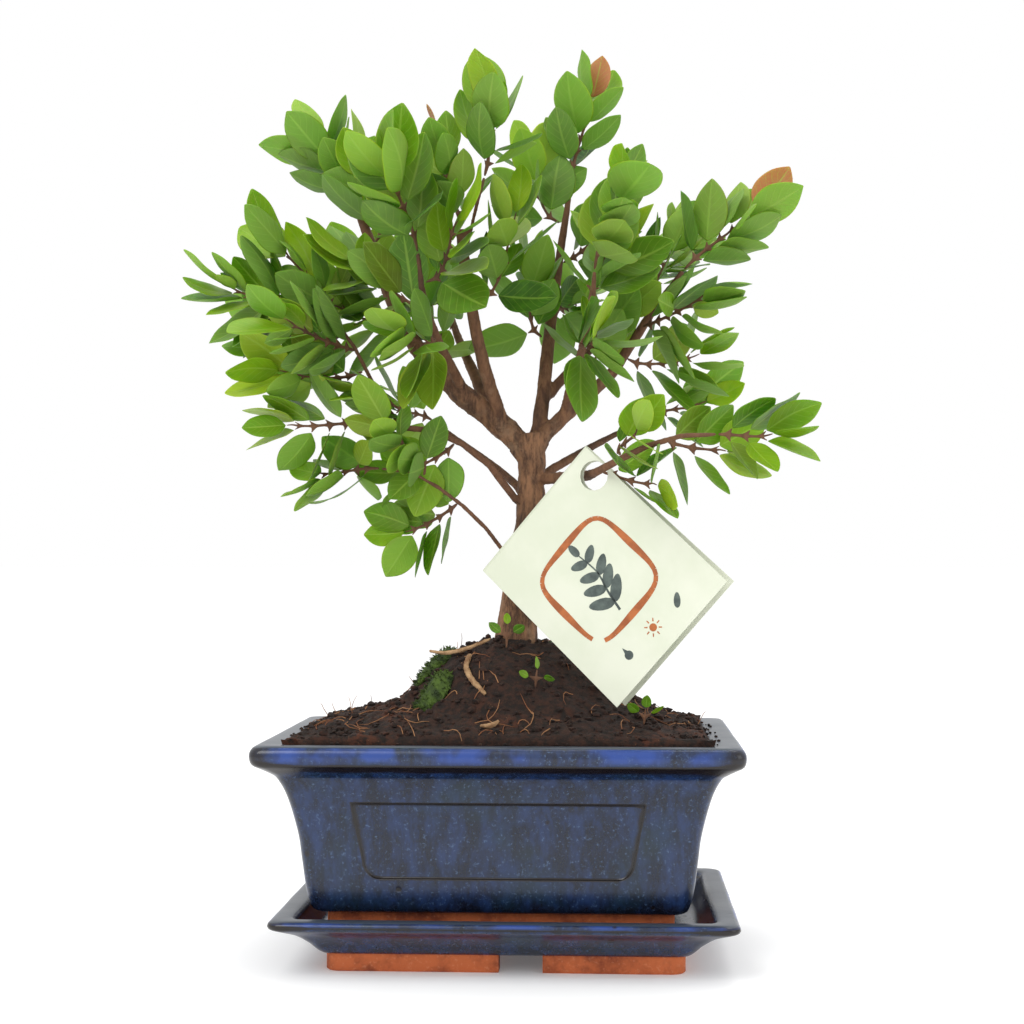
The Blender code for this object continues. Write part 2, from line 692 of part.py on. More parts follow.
class Leaf:
    """A leaf as rings of four points: right, top, left and keel, and a tip."""

    def __init__(self, base, direction, normal, length, width, droop, grow=0.0):
        normal = (normal - direction * normal.dot(direction)).normalized()
        right = normal.cross(direction)
        bend = Matrix.Rotation(-droop, 3, right)
        first = direction
        second = bend @ direction
        third = bend @ second
        lift = bend @ normal
        neck = base + first * PETIOLE
        middle = neck + (first + second).normalized() * length * 0.46
        thick = 0.00042
        self.neck = self.ring(neck, right, normal, thick + grow, thick + grow, thick + grow, 0.0)
        self.middle = self.ring(middle, right, lift, width / 2 + grow, 0.00012 + grow, 0.0005 + grow, 0.13)
        self.tip = middle + (second + third).normalized() * (length * 0.54 + grow)
        self.base = base

    @staticmethod
    def ring(centre, right, normal, half, top, keel, fold):
        rise = normal * fold * half
        return [
            centre + right * half + rise,
            centre + normal * top,
            centre - right * half + rise,
            centre - normal * keel,
        ]

    def shell(self):
        """Points and faces for a search tree, with the stalk from just outside the twig."""
        start = [self.base.lerp(point, 0.55) for point in self.neck]
        points = start + self.neck + self.middle + [self.tip]
        faces = []
        for ring in (0, 4):
            for a in range(4):
                b = (a + 1) % 4
                faces.append((ring + a, ring + b, ring + 4 + b, ring + 4 + a))
        faces += [(8 + a, 8 + (a + 1) % 4, 12) for a in range(4)]
        return points, faces

    def grow_from(self, bm, face):
        for ring in (self.neck, self.middle):
            face = bmesh.ops.extrude_discrete_faces(bm, faces=[face])["faces"][0]
            verts = list(face.verts)
            misfit = [sum((verts[i].co - ring[(i + k) % 4]).length for i in range(4)) for k in range(4)]
            turn = misfit.index(min(misfit))
            for index, vert in enumerate(verts):
                vert.co = ring[(index + turn) % 4]
        bmesh.ops.poke(bm, faces=[face])["verts"][0].co = self.tip


def bezier(start, first, second, end, share):
    rest = 1 - share
    return rest**3 * start + 3 * rest**2 * share * first + 3 * rest * share**2 * second + share**3 * end


def along(points, radii, share):
    """Point, direction and radius at a share of a path's length."""
    lengths = [(b - a).length for a, b in zip(points, points[1:])]
    left = share * sum(lengths)
    for index, length in enumerate(lengths):
        if left <= length or index == len(lengths) - 1:
            part = min(1.0, left / length)
            place = points[index].lerp(points[index + 1], part)
            radius = radii[index] + (radii[index + 1] - radii[index]) * part
            return place, (points[index + 1] - points[index]).normalized(), radius
        left -= length
    return points[-1], (points[-1] - points[-2]).normalized(), radii[-1]


def twig_centres(start, way, end, pairs, rng, loose):
    """Centre points of a twig: a pair of points close together at each place where leaves sit."""
    reach = (end - start).length
    drift = Vector([rng.uniform(-1, 1) * loose for _ in range(3)])
    first = start + way * reach * 0.30 + drift * 0.6
    second = end - ((end - start).normalized() * 0.8 + UP * 0.25) * reach * 0.30 + drift
    tip = end + drift * 0.5
    shares = [0.0]
    half = LEAF_NODE / 2 / reach
    for number in range(pairs):
        middle = 0.20 + 0.66 * (number + 0.5 * (pairs == 1)) / max(1, pairs - 1)
        shares += [middle - half, middle + half]
    shares.append(1.0)
    return [bezier(start, first, second, tip, share) for share in shares]


def clear_start(place, way, wood_tree):
    """The first place along a way that is clear of the wood by the clearance."""
    start = place
    for _ in range(60):
        nearest = wood_tree.find_nearest(start)
        if nearest[3] >= CLEARANCE * 0.9 and (start - nearest[0]).dot(nearest[1]) > 0:
            break
        start = start + way * 0.0002
    return start + way * 0.0001


def shoot_way(place, heading, turn):
    """The way a side shoot leaves its limb, after a turn round the limb from the crown's outside."""
    out = outward(place)
    side = (out - heading * out.dot(heading)).normalized()
    side = Matrix.Rotation(turn, 3, heading) @ side
    return (side + heading * 0.55 + out * 0.7).normalized(), side


def try_twig(start, way, end, pairs, garden, rng, loose):
    """Rings of a twig and whether it is clear of all that stands."""
    centres = twig_centres(start, way, end, pairs, rng, loose)
    count = len(centres)
    radii = [TWIG_RADIUS * (1.0 - 0.45 * index / (count - 1)) for index in range(count)]
    tangent = (centres[1] - centres[0]).normalized()
    side = tangent.cross(UP if abs(tangent.z) < 0.85 else outward(centres[0]))
    rings = tube_rings(centres, radii, 4, start_side=side)
    wide = tube_rings(centres, radii, 4, extra=CLEARANCE * 0.8, start_side=side)
    near, near_faces = tube_faces(rings[:2])
    clear = garden.clear_of(*tube_faces(wide[1:])) and garden.clear_of(near, [(0, 1, 2, 3), *near_faces])
    return centres, rings, clear


def make_shoot(name, limb_name, number, garden, wood_tree, rng):
    """Places the twig of one of a limb's shoots. grow_leaves adds its leaves."""
    limb = LIMBS[limb_name]
    share = 1.0 - (1.0 - BARE_SHARE) * number / limb.shoots
    place, heading, radius = along(*limb_path(limb_name), share)
    reach = limb.reach * MM * tree_scale() * rng.uniform(0.85, 1.15)
    pairs = max(2, min(MOST_PAIRS, round(limb.reach / PAIR_SPACING) + rng.randint(0, 1)))
    for attempt in range(TWIG_TRIES):
        turns, tries = divmod(attempt, TWIG_TURN_TRIES)
        if number == 0 and turns == 0:
            way = heading
            first = place + heading * CLEARANCE * 1.5
            target = (heading + outward(place) * 0.5).normalized()
        else:
            target, way = shoot_way(place, heading, GOLDEN_ANGLE * (number + turns))
            first = place + way * (radius + CLEARANCE)
        start = clear_start(first, way, wood_tree)
        end = start + target * reach * TWIG_REACH
        centres, rings, clear = try_twig(start, way, end, pairs, garden, rng, tries * 0.00035)
        if clear:
            break
    else:
        print(f"{name}: no clear way for the twig")
    shell_points, shell_faces = tube_faces(rings)
    garden.add_tree(BVHTree.FromPolygons(shell_points, shell_faces), *bounds(shell_points))
    leaf_length = limb.leaf * MM * tree_scale()
    return {"name": name, "rings": rings, "centres": centres, "length": leaf_length, "pairs": pairs}


def outward(point):
    """The direction from the middle of the crown to a point."""
    middle = tree_point(*CROWN_MIDDLE)
    way = point - middle
    way.z *= 0.6
    return way.normalized()


def find_leaf(base, heading, face_normal, length, garden, rng):
    """The first leaf that stands clear of all that grows there, trying small turns, then smaller leaves."""
    for attempt in range(LEAF_TRIES):
        loose = 0.16 + 0.014 * attempt
        jitter = Vector([rng.gauss(0, loose) for _ in range(3)])
        direction = (heading + jitter).normalized()
        if direction.dot(face_normal) < 0.25:
            direction = (direction + face_normal * 0.5).normalized()
        sway = Vector([rng.gauss(0, 0.28 + loose * 0.5) for _ in range(3)])
        facing = UP * 0.62 + outward(base) * 0.85 + sway
        size = length * rng.uniform(0.82, 1.12) * (1 - 0.009 * attempt)
        width = size * rng.uniform(0.60, 0.74)
        droop = rng.uniform(0.05, 0.42)
        trial = Leaf(base, direction, facing, size, width, droop, grow=CLEARANCE * 1.3)
        if garden.clear_of(*trial.shell()):
            leaf = Leaf(base, direction, facing, size, width, droop)
            points, faces = leaf.shell()
            garden.add_tree(BVHTree.FromPolygons(points, faces), *bounds(points))
            return leaf
    return None


def grow_leaves(shoot, garden, rng, parent, colour="leaf"):
    """Sweeps a shoot's twig and grows its leaves out of the twig's sides."""
    bm = bmesh.new()
    loops = sweep(bm, shoot["rings"])
    centres = shoot["centres"]
    missing = 0
    jobs = []
    for number in range(shoot["pairs"]):
        low, high = 2 * number + 1, 2 * number + 2
        ahead = (centres[high + 1] - centres[low - 1]).normalized()
        sides = (0, 2) if number % 2 == 0 or abs(ahead.z) < 0.75 else (1, 3)
        for side in sides:
            other = (side + 1) % 4
            corners = [loops[low][side], loops[low][other], loops[high][other], loops[high][side]]
            face = bm.faces.get(corners)
            forward = 0.62 + 0.5 * number / max(1, shoot["pairs"] - 1)
            jobs.append((face, ahead, forward, rng.uniform(0.86, 1.08)))
    cap = bm.faces.get(loops[-1])
    jobs.append((cap, (centres[-1] - centres[-2]).normalized(), 5.0, 0.92))
    bmesh.ops.recalc_face_normals(bm, faces=bm.faces)
    for face, ahead, forward, size in jobs:
        normal = face.normal.copy()
        base = face.calc_center_median()
        heading = (normal + ahead * forward - UP * 0.12).normalized()
        leaf = find_leaf(base, heading, normal, shoot["length"] * size, garden, rng)
        if leaf is None:
            missing += 1
            continue
        leaf.grow_from(bm, face)
    if missing:
        print(f"{shoot['name']}: {missing} leaves found no room")
    return finish(shoot["name"], bm, colour, 0.45, parent)


def make_seedlings(garden, rng, parent):
    made = []
    for number, (x, y, height, leaf_length) in enumerate(SEEDLINGS, 1):
        foot = ground_point(x, y, 0.0)
        foot.z += SOIL_ROUGHNESS * 0.5 + CLEARANCE
        top = foot + Vector((0.4, -0.6, height)) * MM
        shares = (0.0, 0.62, 0.62 + LEAF_NODE / (height * MM), 1.0)
        centres = [foot.lerp(top, share) for share in shares]
        rings = tube_rings(centres, [0.0005] * 4, 4)
        shoot = {"name": f"seedling_{number}", "rings": rings, "centres": centres}
        shoot.update(length=leaf_length * MM, pairs=1)
        made.append(grow_leaves(shoot, garden, rng, parent))
    return made


def centre_on_floor(parent):
    """Moves the whole object so that the origin is the middle of its underside."""
    bpy.context.view_layer.update()
    graph = bpy.context.evaluated_depsgraph_get()
    corners = []
    for item in parent.children:
        if not item.hide_render:
            mesh = item.evaluated_get(graph).to_mesh()
            corners.extend(bounds([vert.co for vert in mesh.vertices]))
    low, high = bounds(corners)
    parent.location = Vector((-(low.x + high.x) / 2, -(low.y + high.y) / 2, -low.z))


def main():
    clear_scene()
    rng = random.Random(11)
    parent = bpy.data.objects.new("bonsai", None)
    bpy.context.scene.collection.objects.link(parent)
    saucer = make_saucer(parent)
    pot = make_pot(parent)
    soil = make_soil(parent)
    make_socket(soil, parent)
    roots = make_surface_roots(soil, parent)
    moss = make_moss(soil, parent)
    wood = make_wood(parent)
    card = make_card(parent)
    garden = Garden()
    for item in (saucer, pot, soil, wood, card, *roots, *moss):
        garden.add_object(item)
    wood_tree = tree_of(wood)
    shoots = []
    for limb_name, limb in LIMBS.items():
        for number in range(limb.shoots):
            name = f"shoot_{len(shoots) + 1:02d}"
            shoots.append(make_shoot(name, limb_name, number, garden, wood_tree, rng))
    for shoot in shoots:
        grow_leaves(shoot, garden, rng, parent)
    make_seedlings(garden, rng, parent)
    centre_on_floor(parent)


main()
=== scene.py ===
"""Looks of a small bonsai tree: glazed pot and saucer, soil, bark, leaves, moss and a folded card."""

import logging
import math
import random
from dataclasses import dataclass, field
from enum import Enum
from typing import Any, Iterable, Sequence

import bmesh
import bpy
from mathutils import Matrix, Vector, noise
from mathutils.bvhtree import BVHTree


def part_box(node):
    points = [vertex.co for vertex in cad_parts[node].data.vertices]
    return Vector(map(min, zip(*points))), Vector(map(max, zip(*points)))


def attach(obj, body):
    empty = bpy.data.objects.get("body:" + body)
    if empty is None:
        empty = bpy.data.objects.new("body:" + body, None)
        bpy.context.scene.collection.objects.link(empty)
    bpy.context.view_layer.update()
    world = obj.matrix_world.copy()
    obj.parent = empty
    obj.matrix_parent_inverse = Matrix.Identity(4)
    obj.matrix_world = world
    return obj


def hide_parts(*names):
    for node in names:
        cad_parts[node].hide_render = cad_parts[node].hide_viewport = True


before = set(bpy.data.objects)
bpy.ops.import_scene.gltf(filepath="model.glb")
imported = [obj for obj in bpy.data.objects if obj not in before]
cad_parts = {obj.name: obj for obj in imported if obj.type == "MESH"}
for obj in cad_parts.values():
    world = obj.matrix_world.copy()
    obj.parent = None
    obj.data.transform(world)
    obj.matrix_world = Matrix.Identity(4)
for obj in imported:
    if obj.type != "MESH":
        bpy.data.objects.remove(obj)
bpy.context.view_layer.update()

LOG = logging.getLogger("bonsai")
BODY = "root"
UP = Vector((0.0, 0.0, 1.0))
MM = 0.001
Colour = tuple[float, float, float]
Ring = list[Vector]


def from_srgb(red: int, green: int, blue: int) -> Colour:
    """Turns a colour of 0 to 255 per channel into a linear one."""
    parts = []
    for level in (red, green, blue):
        share = level / 255
        parts.append(share / 12.92 if share <= 0.04045 else ((share + 0.055) / 1.055) ** 2.4)
    return (parts[0], parts[1], parts[2])


# ---------------------------------------------------------------- materials


class Value:
    """A number that varies over a surface: it wraps a socket and takes part in arithmetic."""

    def __init__(self, sheet: "Sheet", socket: bpy.types.NodeSocket) -> None:
        """Wraps a socket of a material.

        Args:
            sheet: The material that the socket belongs to.
            socket: The output socket to read.
        """
        self.sheet = sheet
        self.socket = socket

    def _maths(self, operation: str, *values: Any) -> "Value":
        """Adds a Math node.

        Args:
            operation: The node's operation.
            values: Its inputs in order.

        Returns:
            The node's result.
        """
        inputs = dict(enumerate(values))
        return self.sheet.node("ShaderNodeMath", {"operation": operation}, inputs).out(0)

    def __add__(self, other: Any) -> "Value":
        """Adds."""
        return self._maths("ADD", self, other)

    __radd__ = __add__

    def __sub__(self, other: Any) -> "Value":
        """Subtracts."""
        return self._maths("SUBTRACT", self, other)

    def __rsub__(self, other: Any) -> "Value":
        """Subtracts from a number."""
        return self._maths("SUBTRACT", other, self)

    def __mul__(self, other: Any) -> "Value":
        """Multiplies."""
        return self._maths("MULTIPLY", self, other)

    __rmul__ = __mul__

    def __truediv__(self, other: Any) -> "Value":
        """Divides."""
        return self._maths("DIVIDE", self, other)

    def __pow__(self, other: Any) -> "Value":
        """Raises to a power."""
        return self._maths("POWER", self, other)

    def __abs__(self) -> "Value":
        """Drops the sign."""
        return self._maths("ABSOLUTE", self)

    def larger(self, other: Any) -> "Value":
        """The larger of two values."""
        return self._maths("MAXIMUM", self, other)

    def smaller(self, other: Any) -> "Value":
        """The smaller of two values."""
        return self._maths("MINIMUM", self, other)

    def fraction(self) -> "Value":
        """The part after the decimal point."""
        return self._maths("FRACT", self)

    def step(self, low: float, high: float) -> "Value":
        """Rises smoothly from 0 at low to 1 at high, or falls where low is above high.

        Args:
            low: Where the result is 0.
            high: Where the result is 1.

        Returns:
            The smooth step.
        """
        flip = low > high
        first, last = (high, low) if flip else (low, high)
        ends = {3: 1.0, 4: 0.0} if flip else {3: 0.0, 4: 1.0}
        settings = {"interpolation_type": "SMOOTHSTEP"}
        return self.sheet.node("ShaderNodeMapRange", settings, {0: self, 1: first, 2: last, **ends}).out(0)


class Node:
    """A node of a material, with its outputs as values."""

    def __init__(self, sheet: "Sheet", made: bpy.types.Node) -> None:
        """Wraps a node.

        Args:
            sheet: The material it is in.
            made: The Blender node.
        """
        self.sheet = sheet
        self.made = made

    def out(self, name: int | str) -> Value:
        """One of the node's outputs, by name or place."""
        return Value(self.sheet, self.made.outputs[name])


class Sheet:
    """A material under construction."""

    def __init__(self, name: str) -> None:
        """Starts a material with one Principled shader.

        Args:
            name: The material's name.
        """
        self.material = bpy.data.materials.new(name)
        self.material.use_nodes = True
        self.nodes = self.material.node_tree.nodes
        self.links = self.material.node_tree.links
        self.shader = self.nodes["Principled BSDF"]

    def node(self, kind: str, settings: dict[str, Any], inputs: dict[int | str, Any]) -> Node:
        """Adds a node.

        Args:
            kind: The node's type.
            settings: Its properties, set first. stops holds a ramp's places and colours.
            inputs: A value or a link for each of its sockets.

        Returns:
            The node.
        """
        made = self.nodes.new(kind)
        for key, value in settings.items():
            if key == "stops":
                self._set_stops(made, value)
            else:
                setattr(made, key, value)
        for key, value in inputs.items():
            self.feed(made.inputs[key], value)
        return Node(self, made)

    @staticmethod
    def _set_stops(made: bpy.types.Node, stops: Sequence[tuple[float, Colour]]) -> None:
        """Sets a colour ramp's stops."""
        elements = made.color_ramp.elements
        while len(elements) < len(stops):
            elements.new(0.5)
        for element, (place, colour) in zip(elements, stops):
            element.position = place
            element.color = (*colour, 1.0)

    def feed(self, socket: bpy.types.NodeSocket, value: Any) -> None:
        """Gives a socket a link, a colour or a number."""
        if isinstance(value, Value):
            self.links.new(value.socket, socket)
        elif isinstance(value, tuple) and socket.type == "RGBA" and len(value) == 3:
            socket.default_value = (*value, 1.0)
        else:
            socket.default_value = value

    def place(self, stretch: tuple[float, float, float] = (1.0, 1.0, 1.0)) -> Value:
        """Object coordinates, stretched along each axis."""
        raw = self.node("ShaderNodeTexCoord", {}, {}).out("Object")
        return self.node("ShaderNodeMapping", {}, {"Vector": raw, "Scale": stretch}).out("Vector")

    def attribute(self, name: str) -> Node:
        """An attribute of the mesh."""
        return self.node("ShaderNodeAttribute", {"attribute_name": name}, {})

    def noise(self, where: Value, scale: float, detail: float = 3.0, rough: float = 0.55) -> Value:
        """Soft noise of about 0 to 1."""
        inputs = {"Vector": where, "Scale": scale, "Detail": detail, "Roughness": rough}
        return self.node("ShaderNodeTexNoise", {}, inputs).out(0)

    def cells(self, where: Value, scale: float, feature: str = "F1") -> Value:
        """Distance to the nearest of scattered points, or to the edge between two."""
        settings = {"feature": feature}
        return self.node("ShaderNodeTexVoronoi", settings, {"Vector": where, "Scale": scale}).out("Distance")

    def mix(self, share: Any, first: Any, second: Any, blend: str = "MIX") -> Value:
        """Mixes two colours."""
        settings = {"data_type": "RGBA", "blend_type": blend}
        return self.node("ShaderNodeMix", settings, {0: share, 6: first, 7: second}).out(2)

    def ramp(self, value: Value, stops: Sequence[tuple[float, Colour]]) -> Value:
        """A colour that follows a value through stops."""
        return self.node("ShaderNodeValToRGB", {"stops": stops}, {0: value}).out(0)

    def bump(self, height: Value, strength: float, distance: float) -> Value:
        """A normal roughened by a height."""
        inputs = {"Height": height, "Strength": strength, "Distance": distance}
        return self.node("ShaderNodeBump", {}, inputs).out(0)

    def dress(self, **sockets: Any) -> bpy.types.Material:
        """Feeds the shader and returns the finished material. Underscores stand for spaces."""
        for name, value in sockets.items():
            self.feed(self.shader.inputs[name.replace("_", " ")], value)
        return self.material


@dataclass(frozen=True)
class Glaze:
    """A dark blue stoneware glaze: mottled, speckled, thin and brown where it runs off edges."""

    deep: Colour = from_srgb(16, 24, 42)
    blue: Colour = from_srgb(29, 48, 86)
    speck: Colour = from_srgb(84, 110, 146)
    teal: Colour = from_srgb(22, 44, 54)
    brown: Colour = from_srgb(20, 13, 11)
    pale: Colour = from_srgb(60, 68, 80)
    pool: Colour = from_srgb(34, 66, 140)

    def build(self, name: str) -> bpy.types.Material:
        """Makes the glaze. It reads the mesh's zone attribute: red thin, green pooled, blue pale."""
        sheet = Sheet(name)
        where = sheet.place()
        zone = sheet.attribute("zone").out("Color")
        parts = sheet.node("ShaderNodeSeparateColor", {}, {0: zone})
        thin, pooled, pale = parts.out(0), parts.out(1), parts.out(2)
        streaks = sheet.noise(sheet.place((1.0, 1.0, 0.35)), 210, 6, 0.7)
        clouds = sheet.noise(where, 34, 4, 0.6)
        base = sheet.mix(streaks.step(0.38, 0.66), self.deep, self.blue)
        base = sheet.mix(clouds.step(0.50, 0.72) * 0.55, base, self.teal)
        bright = sheet.noise(where, 900, 3, 0.75).step(0.56, 0.72)
        base = sheet.mix(bright * (0.55 - 0.35 * thin), base, self.speck)
        drifts = sheet.noise(where, 60, 3).step(0.42, 0.6)
        base = sheet.mix(pooled * drifts * 0.85, base, self.pool)
        worn = sheet.noise(where, 95, 5, 0.7)
        base = sheet.mix((thin * 1.5 - worn * 0.9).step(0.05, 0.6), base, self.brown)
        spots = sheet.cells(where, 130).step(0.16, 0.08) * sheet.noise(where, 28, 2).step(0.5, 0.6)
        base = sheet.mix(spots * 0.85, base, self.brown)
        base = sheet.mix((pale * 1.3 - worn * 0.35).step(0.25, 0.75), base, self.pale)
        height = sheet.noise(where, 90, 4) * 0.6 + streaks * 0.25 + spots * -0.5
        rough = 0.16 + 0.16 * sheet.noise(where, 50, 3) + 0.1 * pale
        return sheet.dress(
            Base_Color=base,
            Roughness=rough,
            Normal=sheet.bump(height, 0.35, 0.0005),
            Specular_IOR_Level=0.5,
            Coat_Roughness=0.08,
        )


@dataclass(frozen=True)
class Terracotta:
    """Unglazed fired clay."""

    clay: Colour = from_srgb(200, 106, 60)
    dark: Colour = from_srgb(118, 52, 30)

    def build(self, name: str) -> bpy.types.Material:
        """Makes the clay."""
        sheet = Sheet(name)
        where = sheet.place()
        stains = sheet.noise(where, 70, 5, 0.65)
        base = sheet.mix(stains.step(0.42, 0.7), self.clay, self.dark)
        base = sheet.mix(sheet.noise(where, 900, 2).step(0.55, 0.75) * 0.35, base, from_srgb(222, 150, 110))
        height = sheet.noise(where, 700, 4)
        return sheet.dress(Base_Color=base, Roughness=0.85, Normal=sheet.bump(height, 0.4, 0.0003))


@dataclass(frozen=True)
class Earth:
    """Peaty potting soil with grains and broken fibres."""

    dark: Colour = from_srgb(24, 14, 9)
    brown: Colour = from_srgb(56, 31, 19)
    red: Colour = from_srgb(86, 46, 27)

    def build(self, name: str) -> bpy.types.Material:
        """Makes the soil."""
        sheet = Sheet(name)
        where = sheet.place()
        grain = sheet.noise(where, 420, 6, 0.7)
        patches = sheet.noise(where, 45, 3)
        base = sheet.mix(grain.step(0.36, 0.68), self.dark, self.brown)
        base = sheet.mix(patches.step(0.5, 0.68) * grain.step(0.4, 0.6) * 0.7, base, self.red)
        pale = sheet.cells(where, 700).step(0.12, 0.05) * patches.step(0.45, 0.6)
        base = sheet.mix(pale * 0.5, base, from_srgb(150, 112, 76))
        return sheet.dress(Base_Color=base, Roughness=0.95, Normal=sheet.bump(grain, 0.9, 0.0012))


@dataclass(frozen=True)
class Bark:
    """Thin grey-brown bark with lighter flakes, redder on young wood."""

    dark: Colour = from_srgb(66, 42, 28)
    light: Colour = from_srgb(140, 100, 70)
    young: Colour = from_srgb(100, 66, 44)

    def build(self, name: str) -> bpy.types.Material:
        """Makes the bark. The mesh's age attribute is 0 on twigs and 1 on the trunk."""
        sheet = Sheet(name)
        age = sheet.attribute("age").out("Fac")
        where = sheet.place()
        tall = sheet.place((1.0, 1.0, 0.30))
        ridges = sheet.noise(tall, 420, 6, 0.7)
        flakes = sheet.noise(where, 120, 5, 0.65)
        base = sheet.mix(ridges.step(0.35, 0.65), self.dark, self.light)
        base = sheet.mix(flakes.step(0.55, 0.7) * 0.5, base, from_srgb(168, 134, 104))
        base = sheet.mix((1 - age) * 0.75, base, self.young)
        base = sheet.mix(sheet.noise(where, 60, 3).step(0.5, 0.75) * 0.55, base, from_srgb(48, 30, 22))
        height = ridges * 0.7 + flakes * 0.5
        return sheet.dress(Base_Color=base, Roughness=0.82, Normal=sheet.bump(height, 0.7, 0.0006))


class Side(Enum):
    """The two sides of a leaf."""

    UPPER = "upper"
    LOWER = "lower"


@dataclass(frozen=True)
class LeafSkin:
    """A leaf's surface: a net of pale veins over a green that the tone attribute sets."""

    young: Colour = from_srgb(140, 170, 22)
    grown: Colour = from_srgb(98, 132, 15)
    # The last colour is the dark green of leaves deep in the canopy: partly real age and partly painted
    # shade.
    old_and_shaded: Colour = from_srgb(50, 80, 12)
    red: Colour = from_srgb(176, 92, 66)
    yellow: Colour = from_srgb(206, 204, 70)

    def build(self, name: str, side: Side) -> bpy.types.Material:
        """Makes one side's material.

        Args:
            name: The material's name.
            side: Which side of the leaf it is for.

        Returns:
            The material. Red of the tone attribute is age with painted shade mixed in, dark on leaves near
            the wood; green is redness and blue is yellowness.
        """
        sheet = Sheet(name)
        tone = sheet.node("ShaderNodeSeparateColor", {}, {0: sheet.attribute("tone").out("Color")})
        age, redness, yellowness = tone.out(0), tone.out(1), tone.out(2)
        place = sheet.node("ShaderNodeUVMap", {"uv_map": "leaf"}, {}).out(0)
        axes = sheet.node("ShaderNodeSeparateXYZ", {}, {0: place})
        length, across = axes.out(0), abs(axes.out(1) - 0.5) * 2
        midrib = across.step(0.10, 0.02)
        ribs = (length * 7.0 - across * 2.2).fraction()
        side_veins = abs(ribs - 0.5).step(0.10, 0.02) * across.step(1.0, 0.75)
        where = sheet.place()
        blotch = sheet.noise(where, 190, 4, 0.6)
        # Painted shade: the ramp's dark end falls on leaves near the wood, inside the canopy, so this age
        # mixes real leaf age with shade.
        base = sheet.ramp(age, ((0.0, self.young), (0.45, self.grown), (1.0, self.old_and_shaded)))
        base = sheet.mix(blotch.step(0.4, 0.7) * 0.35, base, from_srgb(88, 138, 20))
        base = sheet.mix(yellowness, base, self.yellow)
        base = sheet.mix(redness, base, self.red)
        vein_strength = (midrib * 0.8).larger(side_veins * 0.35)
        base = sheet.mix(vein_strength * 0.55, base, from_srgb(150, 176, 70))
        if side is Side.LOWER:
            base = sheet.mix(0.40, base, from_srgb(122, 156, 70))
        grain = sheet.cells(where, 1500, "DISTANCE_TO_EDGE")
        height = vein_strength * (-1.0 if side is Side.UPPER else 1.0) + grain * 0.25
        rough = 0.42 if side is Side.UPPER else 0.6
        return sheet.dress(
            Base_Color=base,
            Roughness=rough + 0.12 * blotch,
            Normal=sheet.bump(height, 0.5, 0.0002),
            Specular_IOR_Level=0.35,
            Subsurface_Weight=0.25,
            Subsurface_Radius=(0.4, 0.8, 0.1),
            Subsurface_Scale=0.002,
        )


@dataclass(frozen=True)
class Plain:
    """A finish of two colours in soft patches."""

    first: Colour
    second: Colour
    roughness: float
    scale: float = 200.0
    relief: float = 0.0003

    def build(self, name: str) -> bpy.types.Material:
        """Makes the finish."""
        sheet = Sheet(name)
        where = sheet.place()
        patch = sheet.noise(where, self.scale, 4, 0.6)
        base = sheet.mix(patch.step(0.35, 0.65), self.first, self.second)
        return sheet.dress(
            Base_Color=base,
            Roughness=self.roughness,
            Normal=sheet.bump(patch, 0.5, self.relief),
        )


CARD_STOCK = Plain(from_srgb(214, 217, 199), from_srgb(206, 211, 190), 0.5, 40.0, 0.00005)
COPPER_INK = Plain(from_srgb(176, 98, 44), from_srgb(146, 76, 32), 0.55, 260.0, 0.00005)
SPRIG_INK = Plain(from_srgb(86, 98, 92), from_srgb(58, 68, 66), 0.55, 200.0, 0.00005)
MOSS_GREEN = Plain(from_srgb(34, 50, 14), from_srgb(70, 92, 26), 0.9, 300.0)
DRY_WOOD = Plain(from_srgb(122, 88, 58), from_srgb(176, 142, 104), 0.85, 300.0)
FIBRE = Plain(from_srgb(120, 70, 40), from_srgb(168, 122, 82), 0.85, 120.0)


# ---------------------------------------------------------------- mesh helpers


def piece(
    name: str,
    bm: bmesh.types.BMesh,
    materials: Iterable[bpy.types.Material],
    nodes: Sequence[str] = (),
    smooth: float | None = 60.0,
) -> bpy.types.Object:
    """Turns a bmesh into a piece that rides on the object.

    Args:
        name: The piece's name.
        bm: Its mesh, which is freed.
        materials: Its materials in order.
        nodes: The nodes of the frame that it stands for.
        smooth: The angle in degrees over which an edge stays sharp, or None for flat faces.

    Returns:
        The piece.
    """
    mesh = bpy.data.meshes.new(name)
    bm.to_mesh(mesh)
    bm.free()
    made = bpy.data.objects.new(name, mesh)
    bpy.context.scene.collection.objects.link(made)
    for material in materials:
        mesh.materials.append(material)
    if smooth is not None:
        mesh.shade_smooth()
        mesh.set_sharp_from_angle(angle=math.radians(smooth))
    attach(made, BODY)
    if nodes:
        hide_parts(*nodes)
    LOG.info("%s: %d faces", name, len(mesh.polygons))
    return made


def merged(node: str) -> bmesh.types.BMesh:
    """A copy of a frame node's mesh with its doubles merged."""
    bm = bmesh.new()
    bm.from_mesh(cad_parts[node].data)
    bmesh.ops.remove_doubles(bm, verts=bm.verts, dist=1e-6)
    bm.verts.ensure_lookup_table()
    return bm


def surface_tree(node: str) -> BVHTree:
    """A search tree of a frame node's surface."""
    bm = merged(node)
    tree = BVHTree.FromBMesh(bm)
    bm.free()
    return tree


def apply_modifiers(made: bpy.types.Object) -> None:
    """Bakes an object's modifiers into its mesh."""
    graph = bpy.context.evaluated_depsgraph_get()
    graph.update()
    baked = bpy.data.meshes.new_from_object(made.evaluated_get(graph))
    made.modifiers.clear()
    made.data = baked


def subdivide(made: bpy.types.Object, levels: int) -> None:
    """Adds a subdivision surface that looks the same in the viewport and the render."""
    step = made.modifiers.new("smooth", "SUBSURF")
    step.levels = levels
    step.render_levels = levels


